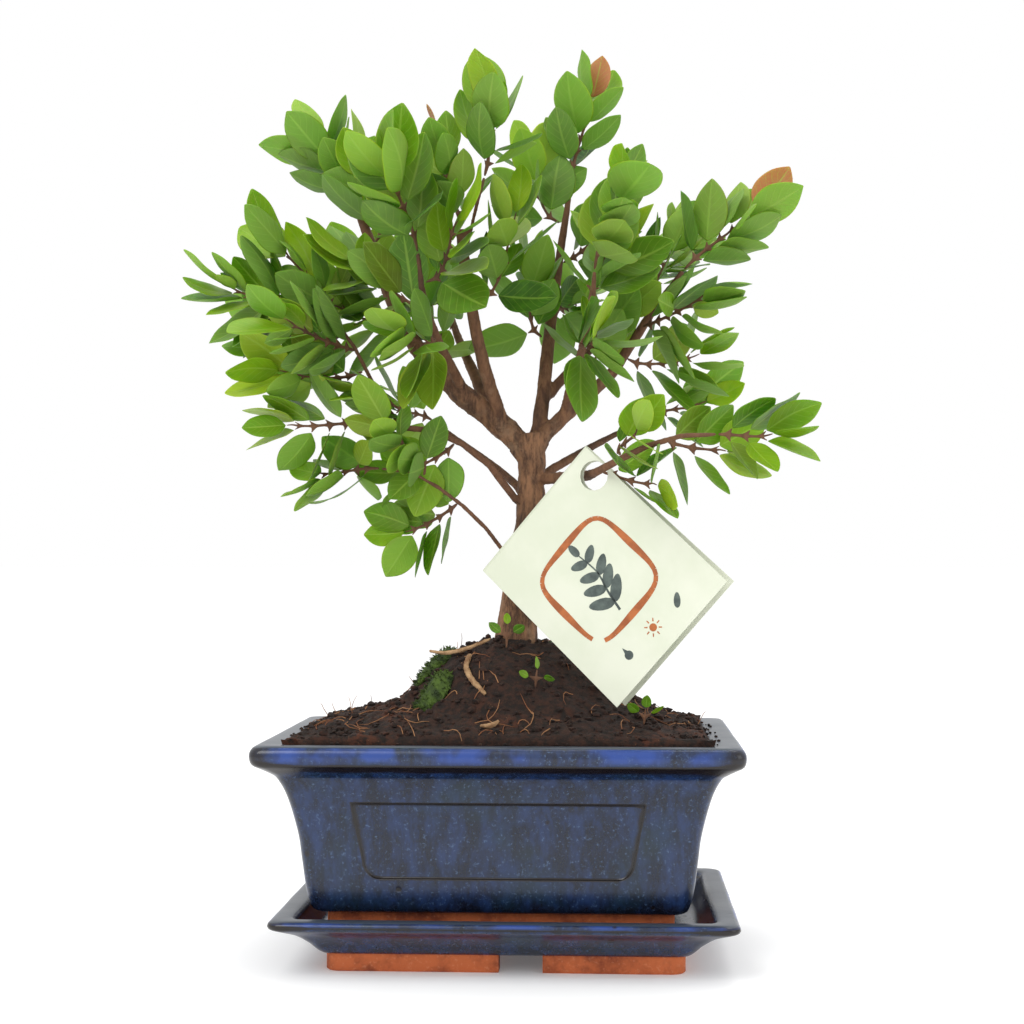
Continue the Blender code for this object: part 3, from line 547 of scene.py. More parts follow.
def loft(bm: bmesh.types.BMesh, rings: Sequence[Ring]) -> None:
    """Skins rings of points, one extrusion for each ring, and closes both ends.

    Args:
        bm: The mesh to build in.
        rings: Rings with equal numbers of points.
    """
    start = [bm.verts.new(point) for point in rings[0]]
    last = bm.faces.new(start)
    for ring in rings[1:]:
        last = bmesh.ops.extrude_discrete_faces(bm, faces=[last])["faces"][0]
        for vert, place in zip(last.verts, ring):
            vert.co = place
    bm.faces.new(list(reversed(start)))
    bmesh.ops.recalc_face_normals(bm, faces=bm.faces)
    if bm.calc_volume(signed=True) < 0:
        bmesh.ops.reverse_faces(bm, faces=bm.faces)


def tube(bm: bmesh.types.BMesh, points: Sequence[Vector], radii: Sequence[float], sides: int) -> None:
    """Adds a tapered tube along a path.

    Args:
        bm: The mesh to add to.
        points: The path.
        radii: The radius at each point.
        sides: Sides of the tube.
    """
    side = (points[1] - points[0]).orthogonal().normalized()
    last: bmesh.types.BMFace | None = None
    start: list[bmesh.types.BMVert] = []
    for index, (point, radius) in enumerate(zip(points, radii)):
        ahead = points[min(index + 1, len(points) - 1)] - points[max(index - 1, 0)]
        ahead.normalize()
        side = (side - ahead * side.dot(ahead)).normalized()
        other = ahead.cross(side)
        ring = []
        for step in range(sides):
            angle = math.tau * step / sides
            ring.append(point + radius * (math.cos(angle) * side + math.sin(angle) * other))
        if last is None:
            start = [bm.verts.new(place) for place in ring]
            last = bm.faces.new(start)
            continue
        last = bmesh.ops.extrude_discrete_faces(bm, faces=[last])["faces"][0]
        for vert, place in zip(last.verts, ring):
            vert.co = place
    bm.faces.new(list(reversed(start)))


def curved(points: Sequence[Vector], steps: int) -> list[Vector]:
    """Points on a smooth curve through the given points."""
    path: list[Vector] = []
    count = len(points)
    for index in range(count - 1):
        before = points[max(index - 1, 0)]
        start, end = points[index], points[index + 1]
        after = points[min(index + 2, count - 1)]
        for step in range(steps):
            t = step / steps
            path.append(
                0.5 * ((2 * start) + (end - before) * t + (2 * before - 5 * start + 4 * end - after) * t**2
                + (3 * start - before - 3 * end + after) * t**3)
            )
    path.append(points[-1])
    return path


def between(value: float, low: float, high: float) -> float:
    """How far a value is from low to high, held to 0 to 1 and eased."""
    share = min(1.0, max(0.0, (value - low) / (high - low)))
    return share * share * (3 - 2 * share)


# ---------------------------------------------------------------- pot and saucer


@dataclass
class Panel:
    """The shallow tapered panel on a long side. Heights are over the vessel's base."""

    low: float = 0.0181
    high: float = 0.0428
    low_half: float = 0.0420
    high_half: float = 0.0465
    corner: float = 0.0045
    depth: float = 0.0008
    lip: float = 0.0007

    def half(self, height: float) -> float:
        """Half the panel's length at a height."""
        held = min(max(height, self.low), self.high)
        spread = self.high_half - self.low_half
        straight = self.low_half + spread * (held - self.low) / (self.high - self.low)
        rise = min(held - self.low, self.corner)
        return straight - self.corner + math.sqrt(self.corner**2 - (self.corner - rise) ** 2)

    def heights(self) -> list[float]:
        """Heights at which the vessel needs a ring."""
        corner = [self.low + self.corner * share for share in (0.02, 0.06, 0.14, 0.28, 0.5, 0.75, 1.0)]
        return [self.low - 0.0003, self.low, *corner, self.high - self.lip, self.high, self.high + 0.0003]

    def sink(self, x: float, height: float) -> float:
        """How deep the wall is sunk at a place."""
        inside = min(self.half(height) - abs(x), height - self.low, self.high - height)
        return self.depth * between(inside, 0.0, self.lip)


@dataclass
class Vessel:
    """A rectangular glazed vessel: outline points are (inset from the rim's edge, height over its base)."""

    node: str
    outline: tuple[tuple[float, float], ...]
    inner: tuple[tuple[float, float], ...]
    corner: float = 0.0042
    wobble: float = 0.00022
    panel: Panel | None = None
    corner_steps: int = 7
    ring_step: float = 0.0016
    low: Vector = field(init=False)
    high: Vector = field(init=False)

    def __post_init__(self) -> None:
        """Reads the vessel's box from the frame."""
        low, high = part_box(self.node)
        self.low, self.high = Vector(low), Vector(high)

    @property
    def middle(self) -> Vector:
        """The middle of the vessel's box, at its base."""
        return Vector(((self.low.x + self.high.x) / 2, (self.low.y + self.high.y) / 2, self.low.z))

    def smooth_profile(self, points: Sequence[tuple[float, float]]) -> list[tuple[float, float]]:
        """Rounds an outline and spaces its rings evenly."""
        path = curved([Vector((inset, z, 0.0)) for inset, z in points], 8)
        kept = [path[0]]
        for point in path[1:]:
            if (point - kept[-1]).length >= self.ring_step * 0.5:
                kept.append(point)
        kept[-1] = path[-1]
        return [(point.x, point.y) for point in kept]

    def with_panel_rings(self, profile: list[tuple[float, float]]) -> list[tuple[float, float]]:
        """Adds the rings that the panel's edges need."""
        if self.panel is None:
            return profile
        heights = self.panel.heights()
        course: list[tuple[float, float]] = []
        for (inset, z), (next_inset, next_z) in zip(profile, profile[1:]):
            if all(abs(z - height) > 0.0004 for height in heights):
                course.append((inset, z))
            for height in heights:
                if z <= height < next_z:
                    share = (height - z) / (next_z - z)
                    course.append((inset + (next_inset - inset) * share, height))
        return course + [profile[-1]]

    def side_columns(self, straight: float, height: float) -> list[float]:
        """Places of the columns along a long side, from +straight to -straight."""
        if self.panel is None:
            count = 24
            return [straight * (1 - 2 * step / count) for step in range(1, count)]
        edge = min(self.panel.half(height), straight - 0.002)
        lip = self.panel.lip
        marks = [edge + lip * 0.5, edge, edge - lip * 0.5, edge - lip]
        outer = [straight + (marks[0] - straight) * step / 5 for step in range(1, 5)]
        inner = [marks[-1] * (1 - step / 16) for step in range(1, 17)]
        half = outer + marks + inner
        return half + [-x for x in reversed(half[:-1])]

    def ring(self, inset: float, height: float, outside: bool) -> Ring:
        """One ring of the vessel's wall."""
        half_x = (self.high.x - self.low.x) / 2 - inset
        half_y = (self.high.y - self.low.y) / 2 - inset
        radius = self.corner
        middle = self.middle
        ring: Ring = []
        straight_x, straight_y = half_x - radius, half_y - radius
        for sign_x, sign_y, start in ((1, 1, 0), (-1, 1, 90), (-1, -1, 180), (1, -1, 270)):
            for step in range(self.corner_steps + 1):
                angle = math.radians(start + 90 * step / self.corner_steps)
                x = sign_x * straight_x + radius * math.cos(angle)
                y = sign_y * straight_y + radius * math.sin(angle)
                ring.append(Vector((x, y, height)))
            if sign_x == sign_y:
                for x in self.side_columns(straight_x, height):
                    sunk = self.panel.sink(x, height) if self.panel and outside else 0.0
                    ring.append(Vector((sign_y * x, sign_y * (half_y - sunk), height)))
            else:
                rows = 14
                for step in range(1, rows):
                    y = -sign_x * straight_y * (1 - 2 * step / rows)
                    ring.append(Vector((sign_x * half_x, y, height)))
        for point in ring:
            sway = noise.noise(Vector((point.x, point.y, height)) * 55 + Vector((0.0, 0.0, inset * 90)))
            out = Vector((point.x, point.y, 0.0)).normalized()
            point += out * (sway - 0.45) * self.wobble
            point += middle
        return ring

    def build(self, name: str, materials: Sequence[bpy.types.Material], foot: "Foot") -> bpy.types.Object:
        """Makes the glazed body and its bare foot as one fired piece.

        Args:
            name: The piece's name.
            materials: Its glaze and its clay.
            foot: Its foot ring.

        Returns:
            The piece.
        """
        outer = self.with_panel_rings(self.smooth_profile(self.outline))
        inner = self.smooth_profile(self.inner)
        rings = [self.ring(inset, height, True) for inset, height in outer]
        rings += [self.ring(inset, height, False) for inset, height in inner]
        bm = bmesh.new()
        loft(bm, rings)
        self.paint_zones(bm)
        glazed = len(bm.faces)
        bm.from_mesh(foot.mesh(self))
        bm.faces.ensure_lookup_table()
        for face in bm.faces[glazed:]:
            face.material_index = 1
        return piece(name, bm, materials, [self.node], 75.0)

    def paint_zones(self, bm: bmesh.types.BMesh) -> None:
        """Marks where the glaze is thin (red), pooled (green) and pale (blue)."""
        zone = bm.verts.layers.float_color.new("zone")
        middle = self.middle
        tall = self.high.z - self.low.z
        half_x = (self.high.x - self.low.x) / 2
        half_y = (self.high.y - self.low.y) / 2
        for vert in bm.verts:
            place = vert.co - middle
            share = place.z / tall
            out = max(abs(place.x) - half_x, abs(place.y) - half_y)
            corner = between(min(abs(place.x) / half_x, abs(place.y) / half_y), 0.80, 0.96)
            rim_edge = between(share, 0.90, 0.94) * between(share, 1.01, 0.985)
            thin = 0.55 * corner + 0.5 * between(share, 0.30, 0.12)
            thin += 0.75 * between(share, 0.84, 0.88) * between(share, 0.925, 0.90)
            if self.panel is not None and abs(place.y) > half_y * 0.6:
                height = place.z
                beside = self.panel.half(height) - abs(place.x)
                gap = min(beside, height - self.panel.low, self.panel.high - height)
                thin += 0.75 * between(abs(gap - 0.0003), 0.0011, 0.0002)
            flat_top = between(vert.normal.z, 0.75, 0.95) * between(share, 0.95, 0.99)
            pooled = rim_edge * between(out, -0.006, -0.001)
            vert[zone] = (min(1.0, thin), pooled, flat_top, 1.0)


@dataclass
class Foot:
    """An unglazed foot ring under a vessel, cut through by a notch where it has one."""

    outer_inset: float
    band: float
    height: float
    notch: float = 0.0
    notch_shift: float = 0.0
    soft: float = 0.0005

    def mesh(self, vessel: Vessel) -> bpy.types.Mesh:
        """Makes the foot.

        Args:
            vessel: The vessel that stands on it.

        Returns:
            Its mesh, with the notch cut.
        """
        outer, inner = self.outer_inset, self.outer_inset + self.band
        profile = [
            (outer, self.height), (outer, self.soft), (outer + self.soft, 0.0),
            (inner - self.soft, 0.0), (inner, self.soft), (inner, self.height - self.soft),
        ]
        bm = bmesh.new()
        loft(bm, [vessel.ring(inset, height, False) for inset, height in profile])
        made = self.helper("foot", bm)
        if self.notch > 0:
            cutter = self.helper("notch", self.notch_block(vessel))
            step = made.modifiers.new("notch", "BOOLEAN")
            step.operation = "DIFFERENCE"
            step.object = cutter
            apply_modifiers(made)
            bpy.data.objects.remove(cutter)
        mesh = made.data
        bpy.data.objects.remove(made)
        return mesh

    @staticmethod
    def helper(name: str, bm: bmesh.types.BMesh) -> bpy.types.Object:
        """An object that is only there for a Boolean."""
        mesh = bpy.data.meshes.new(name)
        bm.to_mesh(mesh)
        bm.free()
        made = bpy.data.objects.new(name, mesh)
        bpy.context.scene.collection.objects.link(made)
        return made

    def notch_block(self, vessel: Vessel) -> bmesh.types.BMesh:
        """The block that cuts the notch through both long sides."""
        bm = bmesh.new()
        bmesh.ops.create_cube(bm, size=1.0)
        centre = vessel.middle + Vector((self.notch_shift, 0.0, self.height / 2))
        size = Vector((self.notch, 1.0, self.height * 3, 1.0))
        bmesh.ops.transform(bm, matrix=Matrix.Translation(centre) @ Matrix.Diagonal(size), verts=bm.verts)
        return bm


# ---------------------------------------------------------------- soil


@dataclass
class SoilMound:
    """The soil with its grains, crumbs and broken fibres."""

    seed: int = 5
    spacing: float = 0.0011
    crumbs: int = 1500
    rim_crumbs: int = 70
    fibres: int = 150
    skirt_depth: float = 0.047
    skirt_share: tuple[float, float] = (0.93, 0.90)
    corner: float = 0.0045
    tree: BVHTree = field(init=False)
    low: Vector = field(init=False)
    high: Vector = field(init=False)
    rng: random.Random = field(init=False)

    def __post_init__(self) -> None:
        """Reads the mound from the frame."""
        self.tree = surface_tree("soil")
        low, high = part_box("soil")
        self.low, self.high = Vector(low), Vector(high)
        self.rng = random.Random(self.seed)

    @property
    def middle(self) -> Vector:
        """The middle of the mound."""
        return (self.low + self.high) / 2

    def ground(self, x: float, y: float) -> float:
        """Height of the frame's soil at a place, with its pockets bridged."""
        for share in (1.0, 0.98, 0.96, 0.92, 0.88):
            over = self.middle + (Vector((x, y, 0.0)) - self.middle) * share
            hit = self.tree.ray_cast(Vector((over.x, over.y, self.high.z + 0.02)), -UP)[0]
            if hit:
                return hit.z
        return self.low.z

    def rough(self, x: float, y: float) -> float:
        """Fine relief of the soil at a place."""
        place = Vector((x, y, 0.0))
        lumps = noise.noise(place * 110) * 0.0011 + noise.noise(place * 330) * 0.0007
        return lumps + abs(noise.noise(place * 700)) * 0.0007

    def surface(self, x: float, y: float) -> float:
        """Height of the finished soil at a place."""
        return self.ground(x, y) + self.rough(x, y)

    def build(self, material: bpy.types.Material) -> bpy.types.Object:
        """Makes the mound as a fine grid that is closed below."""
        size = self.high - self.low
        bm = bmesh.new()
        bmesh.ops.create_grid(
            bm, x_segments=round(size.x / self.spacing), y_segments=round(size.y / self.spacing), size=0.5
        )
        middle = self.middle
        for vert in bm.verts:
            x = middle.x + vert.co.x * size.x * 0.998
            y = middle.y + vert.co.y * size.y * 0.998
            vert.co = Vector((x, y, self.surface(x, y)))
        self.round_corners(bm)
        rim = [edge for edge in bm.edges if edge.is_boundary]
        grown = bmesh.ops.extrude_edge_only(bm, edges=rim)["geom"]
        for vert in (item for item in grown if isinstance(item, bmesh.types.BMVert)):
            vert.co.z = self.high.z - self.skirt_depth
            vert.co.x = middle.x + (vert.co.x - middle.x) * self.skirt_share[0]
            vert.co.y = middle.y + (vert.co.y - middle.y) * self.skirt_share[1]
        bmesh.ops.holes_fill(bm, edges=[edge for edge in bm.edges if edge.is_boundary], sides=0)
        bmesh.ops.recalc_face_normals(bm, faces=bm.faces)
        return piece("potting_soil", bm, [material], ["soil"])

    def round_corners(self, bm: bmesh.types.BMesh) -> None:
        """Pulls the grid's corners in to the pot's round inner corners."""
        half_x = (self.high.x - self.low.x) / 2
        half_y = (self.high.y - self.low.y) / 2
        radius = self.corner
        for vert in bm.verts:
            dx = vert.co.x - self.middle.x
            dy = vert.co.y - self.middle.y
            over = Vector((max(0.0, abs(dx) - half_x + radius), max(0.0, abs(dy) - half_y + radius), 0.0))
            if over.x > 0 and over.y > 0 and over.length > 1e-9:
                held = over * (max(over.x, over.y) / over.length)
                vert.co.x += math.copysign(held.x - over.x, dx)
                vert.co.y += math.copysign(held.y - over.y, dy)

    def scatter(self, spread: float = 0.5) -> tuple[float, float]:
        """A random place on the soil, spread evenly over it."""
        size = self.high - self.low
        x = self.middle.x + self.rng.uniform(-spread, spread) * size.x * 0.97
        y = self.middle.y + self.rng.uniform(-spread, spread) * size.y * 0.97
        return x, y

    def build_crumbs(self, material: bpy.types.Material) -> bpy.types.Object:
        """Makes the loose crumbs that lie on the soil and a few on the rim."""
        bm = bmesh.new()
        for _ in range(self.crumbs):
            x, y = self.scatter()
            size = 0.00045 + 0.0011 * self.rng.random() ** 2.6
            centre = Vector((x, y, self.surface(x, y) + size * 0.25))
            self.add_crumb(bm, centre, size)
        for _ in range(self.rim_crumbs):
            angle = self.rng.uniform(0, math.tau)
            half = (self.high - self.low) / 2
            edge = 1.0 + self.rng.uniform(0.0, 0.05)
            scale = edge / max(abs(math.cos(angle)), abs(math.sin(angle)))
            size = self.rng.uniform(0.0003, 0.0008)
            x = math.cos(angle) * scale * half.x
            y = math.sin(angle) * scale * half.y
            centre = self.middle + Vector((x, y, 0.0))
            centre.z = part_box("pot")[1][2] + size * 0.35
            self.add_crumb(bm, centre, size)
        return piece("soil_crumbs", bm, [material], (), 50.0)

    def add_crumb(self, bm: bmesh.types.BMesh, centre: Vector, size: float) -> None:
        """Adds one crumb."""
        made = bmesh.ops.create_icosphere(bm, subdivisions=1, radius=size)["verts"]
        squash = Vector((self.rng.uniform(0.7, 1.3), self.rng.uniform(0.7, 1.3), self.rng.uniform(0.5, 0.9)))
        for vert in made:
            jag = 1 + self.rng.uniform(-0.22, 0.22)
            pressed = Vector((vert.co.x * squash.x, vert.co.y * squash.y, vert.co.z * squash.z))
            vert.co = centre + pressed * jag

    def build_fibres(self, material: bpy.types.Material) -> bpy.types.Object:
        """Makes the broken fibres, most of them lying and a few standing up."""
        bm = bmesh.new()
        for number in range(self.fibres):
            x, y = self.scatter()
            self.add_fibre(bm, x, y, self.rng.uniform(0.003, 0.012), number % 9 == 0)
        return piece("soil_fibres", bm, [material], (), None)

    def add_fibre(self, bm: bmesh.types.BMesh, x: float, y: float, length: float, standing: bool) -> None:
        """Adds one fibre that starts at a place."""
        heading = self.rng.uniform(0, math.tau)
        turn = self.rng.uniform(-1.6, 1.6)
        half = (self.high - self.low) / 2
        points = []
        for step in range(6):
            share = step / 5
            angle = heading + turn * share
            reach = length * share * (0.35 if standing else 1.0)
            end_x = min(max(x + math.cos(angle) * reach, self.middle.x - half.x), self.middle.x + half.x)
            end_y = min(max(y + math.sin(angle) * reach, self.middle.y - half.y), self.middle.y + half.y)
            lift = length * 0.7 * share if standing else 0.0003 + 0.0006 * math.sin(share * math.pi)
            points.append(Vector((end_x, end_y, self.surface(end_x, end_y) + lift)))
        tube(bm, points, [0.00016, 0.00016, 0.00015, 0.00013, 0.0001, 0.00006], 4)


# ---------------------------------------------------------------- wood


@dataclass
class Wood:
    """The trunk and branches with their bark."""

    voxel: float = 0.00052
    relief: float = 0.00034

    def build(self, material: bpy.types.Material) -> bpy.types.Object:
        """Makes the bark over the frame's wood, with forks that flow into each other."""
        made = piece("bark", merged("trunk_and_branches"), [material], ["trunk_and_branches"])
        remesh = made.modifiers.new("grown", "REMESH")
        remesh.mode = "VOXEL"
        remesh.voxel_size = self.voxel
        relax = made.modifiers.new("relax", "SMOOTH")
        relax.factor = 0.5
        relax.iterations = 3
        apply_modifiers(made)
        bm = bmesh.new()
        bm.from_mesh(made.data)
        self.carve(bm)
        bm.to_mesh(made.data)
        bm.free()
        made.data.shade_smooth()
        return made

    def carve(self, bm: bmesh.types.BMesh) -> None:
        """Cuts fissures and swells knots, deeper on thick wood, and stores the wood's age."""
        age = bm.verts.layers.float.new("age")
        bm.normal_update()
        tree = BVHTree.FromBMesh(bm)
        moves: list[Vector] = []
        for vert in bm.verts:
            inward = -vert.normal
            hit = tree.ray_cast(vert.co + inward * 0.0002, inward, 0.02)
            thick = hit[3] if hit[3] else 0.002
            grown = between(thick, 0.0015, 0.009)
            place = vert.co
            tall = Vector((place.x * 480, place.y * 480, place.z * 130))
            ridge = noise.fractal(tall, 0.9, 2.1, 4)
            knots = noise.noise(place * 105)
            swell = noise.noise(place * 45)
            depth = self.relief * (0.25 + grown) * ridge + self.relief * (0.3 + 1.5 * grown) * knots
            moves.append(vert.normal * (depth + 0.0006 * grown * swell))
            vert[age] = grown
        for vert, move in zip(bm.verts, moves):
            vert.co += move


# ---------------------------------------------------------------- leaves


@dataclass
class LeafSpot:
    """Where a leaf grows and how it is turned, as read from the frame."""

    base: Vector
    neck: Vector
    middle: Vector
    tip: Vector
    across: Vector
    lift: Vector
    half: float
    order: float = 0.0


@dataclass
class ShootReader:
    """Finds the leaves of a shoot in the frame's mesh.

    A leaf's solid ends in a point joined to a ring of four corners at its widest place, then comes a
    ring at the end of its stalk, and then the twig.
    """

    node: str
    spots: list[LeafSpot] = field(default_factory=list)
    blade: set[bmesh.types.BMVert] = field(default_factory=set)
    necks: list[list[bmesh.types.BMVert]] = field(default_factory=list)
    bm: bmesh.types.BMesh = field(init=False)

    def __post_init__(self) -> None:
        """Reads every leaf."""
        self.bm = merged(self.node)
        self.bm.verts.index_update()
        for vert in self.bm.verts:
            around = self.next_to(vert)
            if len(around) == 4 and self.is_point(vert, around):
                self.read_leaf(vert, around)

    @staticmethod
    def in_order(verts: Iterable[bmesh.types.BMVert]) -> list[bmesh.types.BMVert]:
        """The vertices by their index, so that each run reads a leaf the same way round."""
        return sorted(verts, key=lambda vert: vert.index)

    @staticmethod
    def next_to(vert: bmesh.types.BMVert) -> set[bmesh.types.BMVert]:
        """The vertices joined to one."""
        return {edge.other_vert(vert) for edge in vert.link_edges}

    @staticmethod
    def is_point(vert: bmesh.types.BMVert, around: set[bmesh.types.BMVert]) -> bool:
        """Whether a vertex is a leaf's tip: all that it is joined to lies far off on one side."""
        ways = [other.co - vert.co for other in ShootReader.in_order(around)]
        mean = sum(ways, Vector()).normalized()
        together = all(way.normalized().dot(mean) > 0.55 for way in ways)
        return together and min(way.length for way in ways) > 0.0012

    def read_leaf(self, tip: bmesh.types.BMVert, widest: set[bmesh.types.BMVert]) -> None:
        """Reads one leaf from its tip."""
        neck = set().union(*(self.next_to(vert) for vert in widest)) - widest - {tip}
        stem = set().union(*(self.next_to(vert) for vert in neck)) - widest - neck
        if len(neck) != 4 or not stem:
            return
        corners = self.in_order(widest)
        pairs = [(a, b) for index, a in enumerate(corners) for b in corners[index + 1:]]
        left, right = max(pairs, key=lambda pair: (pair[0].co - pair[1].co).length)
        top, keel = [vert for vert in corners if vert not in (left, right)]
        chord = (left.co + right.co) / 2
        if (top.co - chord).length > (keel.co - chord).length:
            top, keel = keel, top
        lift = (top.co - keel.co).normalized()
        self.blade |= {tip} | widest
        self.necks.append(self.in_order(neck))
        self.spots.append(
            LeafSpot(
                base=sum((vert.co for vert in self.in_order(stem)), Vector()) / len(stem),
                neck=sum((vert.co for vert in self.in_order(neck)), Vector()) / 4,
                middle=keel.co + lift * 0.0005,
                tip=tip.co.copy(),
                across=(right.co - left.co).normalized(),
                lift=lift,
                half=(right.co - left.co).length / 2,
            )
        )

    def twig(self) -> bpy.types.Mesh:
        """The twig and the leaf stalks alone, slimmed where the blades begin."""
        for ring in self.necks:
            centre = sum((vert.co for vert in ring), Vector()) / 4
            for vert in ring:
                vert.co = centre + (vert.co - centre) * 0.62
        bmesh.ops.delete(self.bm, geom=self.in_order(self.blade), context="VERTS")
        bmesh.ops.holes_fill(self.bm, edges=[edge for edge in self.bm.edges if edge.is_boundary], sides=0)
        bmesh.ops.recalc_face_normals(self.bm, faces=self.bm.faces)
        mesh = bpy.data.meshes.new("twig")
        self.bm.to_mesh(mesh)
        self.bm.free()
        return mesh


@dataclass
class Foliage:
    """All the leafy shoots."""

    upper: bpy.types.Material
    lower: bpy.types.Material
    twig: bpy.types.Material
    rng: random.Random
    wood: BVHTree
    along: int = 7
    across: int = 4
    thickness: float = 0.00022

    def blade_width(self, u: float, bluntness: float) -> float:
        """Width of a blade at a share of its length, as a share of its greatest width."""
        return max(0.03, math.sin(math.pi * min(1.0, u**0.86)) ** bluntness)

    def add_leaf(self, bm: bmesh.types.BMesh, spot: LeafSpot, tone: tuple[float, float, float]) -> None:
        """Adds one leaf.

        Args:
            bm: The mesh of the shoot.
            spot: Where it grows.
            tone: Its age with painted shade mixed in, redness and yellowness.
        """
        colour = bm.verts.layers.float_color["tone"]
        before = set(bm.faces)
        grid = bmesh.ops.create_grid(
            bm, x_segments=self.along, y_segments=self.across, size=0.5, calc_uvs=True
        )
        at = 0.46
        pull = (spot.middle - (1 - at) ** 2 * spot.neck - at**2 * spot.tip) / (2 * at * (1 - at))
        fold = self.rng.uniform(0.10, 0.34)
        cup = self.rng.uniform(-0.16, 0.12)
        wave = self.rng.uniform(0.02, 0.07) * spot.half
        turns = self.rng.uniform(1.2, 2.4)
        phase = self.rng.uniform(0, math.tau)
        twist = self.rng.uniform(-0.28, 0.28)
        bluntness = self.rng.uniform(0.46, 0.60)
        for vert in grid["verts"]:
            u, v = vert.co.x + 0.5, vert.co.y * 2
            spine = (1 - u) ** 2 * spot.neck + 2 * u * (1 - u) * pull + u * u * spot.tip
            heading = (2 * (1 - u) * (pull - spot.neck) + 2 * u * (spot.tip - pull)).normalized()
            side = Matrix.Rotation(twist * (u - at), 3, heading) @ spot.across
            lift = side.cross(heading)
            if lift.dot(spot.lift) < 0:
                lift = -lift
            width = spot.half * self.blade_width(u, bluntness)
            rise = fold * abs(v) * width + cup * v * v * width
            rise += wave * math.sin(turns * math.tau * u + phase + (math.pi / 2 if v > 0 else 0)) * v * v
            vert.co = spine + side * v * width + lift * rise
            vert[colour] = (*tone, 1.0)
        faces = [face for face in bm.faces if face not in before]
        if sum((face.normal.dot(spot.lift) for face in self.updated(faces))) < 0:
            bmesh.ops.reverse_faces(bm, faces=faces)
        bmesh.ops.solidify(bm, geom=faces, thickness=self.thickness)
        shell = [face for face in bm.faces if face not in before]
        for face in self.updated(shell):
            face.material_index = 0 if face.normal.dot(spot.lift) > 0 else 1
            for vert in face.verts:
                vert[colour] = (*tone, 1.0)

    @staticmethod
    def updated(faces: Iterable[bmesh.types.BMFace]) -> list[bmesh.types.BMFace]:
        """The faces, with fresh normals."""
        found = list(faces)
        for face in found:
            face.normal_update()
        return found

    def build_shoot(
        self, name: str, node: str, reds: int = 0, yellow: float = 0.0
    ) -> bpy.types.Object:
        """Makes one shoot.

        Args:
            name: The piece's name.
            node: The frame's node that it stands for.
            reds: How many of its last leaves are still red.
            yellow: How yellow one leaf in five is.

        Returns:
            The piece.
        """
        reader = ShootReader(node)
        for spot in reader.spots:
            spot.order = self.wood.find_nearest(spot.base)[3]
        spots = sorted(reader.spots, key=lambda spot: spot.order)
        bm = bmesh.new()
        bm.loops.layers.uv.new("leaf")
        bm.verts.layers.float_color.new("tone")
        bm.verts.layers.float.new("age")
        for index, spot in enumerate(spots):
            share = index / max(1, len(spots) - 1)
            # Leaves near the wood, inside the canopy, get a high age and so the dark green: partly real age,
            # partly painted shade.
            age = min(1.0, max(0.0, 0.78 - 0.55 * share + self.rng.gauss(0, 0.16)))
            red = 0.9 if index >= len(spots) - reds else 0.0
            gold = yellow * self.rng.uniform(0.5, 1.0) if self.rng.random() < 0.2 else 0.0
            self.add_leaf(bm, spot, (age, red, gold))
        leaves = len(bm.faces)
        bm.from_mesh(reader.twig())
        bm.faces.ensure_lookup_table()
        for face in bm.faces[leaves:]:
            face.material_index = 2
        made = piece(name, bm, [self.upper, self.lower, self.twig], [node], None)
        made.data.shade_smooth()
        subdivide(made, 1)
        LOG.info("%s: %d leaves", name, len(spots))
        return made


# ---------------------------------------------------------------- small things


@dataclass
class MossCushion:
    """A cushion of moss: a lumpy body under many small pointed shoots."""

    node: str
    seed: int
    sprigs: int = 420

    def build(self, material: bpy.types.Material) -> bpy.types.Object:
        """Makes the cushion."""
        rng = random.Random(self.seed)
        bm = merged(self.node)
        bmesh.ops.subdivide_edges(bm, edges=bm.edges, cuts=1, use_grid_fill=True, smooth=0.6)
        bmesh.ops.recalc_face_normals(bm, faces=bm.faces)
        bm.normal_update()
        roots = [(face.calc_center_median(), face.normal.copy()) for face in bm.faces if face.normal.z > -0.1]
        for _ in range(self.sprigs):
            centre, normal = rng.choice(roots)
            way = (normal + Vector([rng.gauss(0, 0.45) for _ in range(3)])).normalized()
            length = rng.uniform(0.0007, 0.0016)
            turn = way.to_track_quat("Z", "Y").to_matrix().to_4x4()
            shift = Vector([rng.uniform(-0.0006, 0.0006) for _ in range(3)])
            place = Matrix.Translation(centre + shift + way * length * 0.3) @ turn
            bmesh.ops.create_cone(
                bm,
                cap_ends=True,
                segments=4,
                radius1=length * 0.22,
                radius2=0.00003,
                depth=length,
                matrix=place,
            )
        return piece(self.node.replace("cushion", "tuft"), bm, [material], [self.node], 40.0)


@dataclass
class Driftwood:
    """A small dry root, twig or chip on the soil."""

    node: str

    def build(self, material: bpy.types.Material) -> bpy.types.Object:
        """Makes the piece over the frame's solid, rounded and gnarled."""
        made = piece(self.node + "_wood", merged(self.node), [material], [self.node])
        subdivide(made, 3)
        apply_modifiers(made)
        bm = bmesh.new()
        bm.from_mesh(made.data)
        bm.normal_update()
        moves = [vert.normal * 0.0002 * noise.fractal(vert.co * 700, 0.8, 2.0, 3) for vert in bm.verts]
        for vert, move in zip(bm.verts, moves):
            vert.co += move
        bm.to_mesh(made.data)
        bm.free()
        made.data.shade_smooth()
        return made


# ---------------------------------------------------------------- card


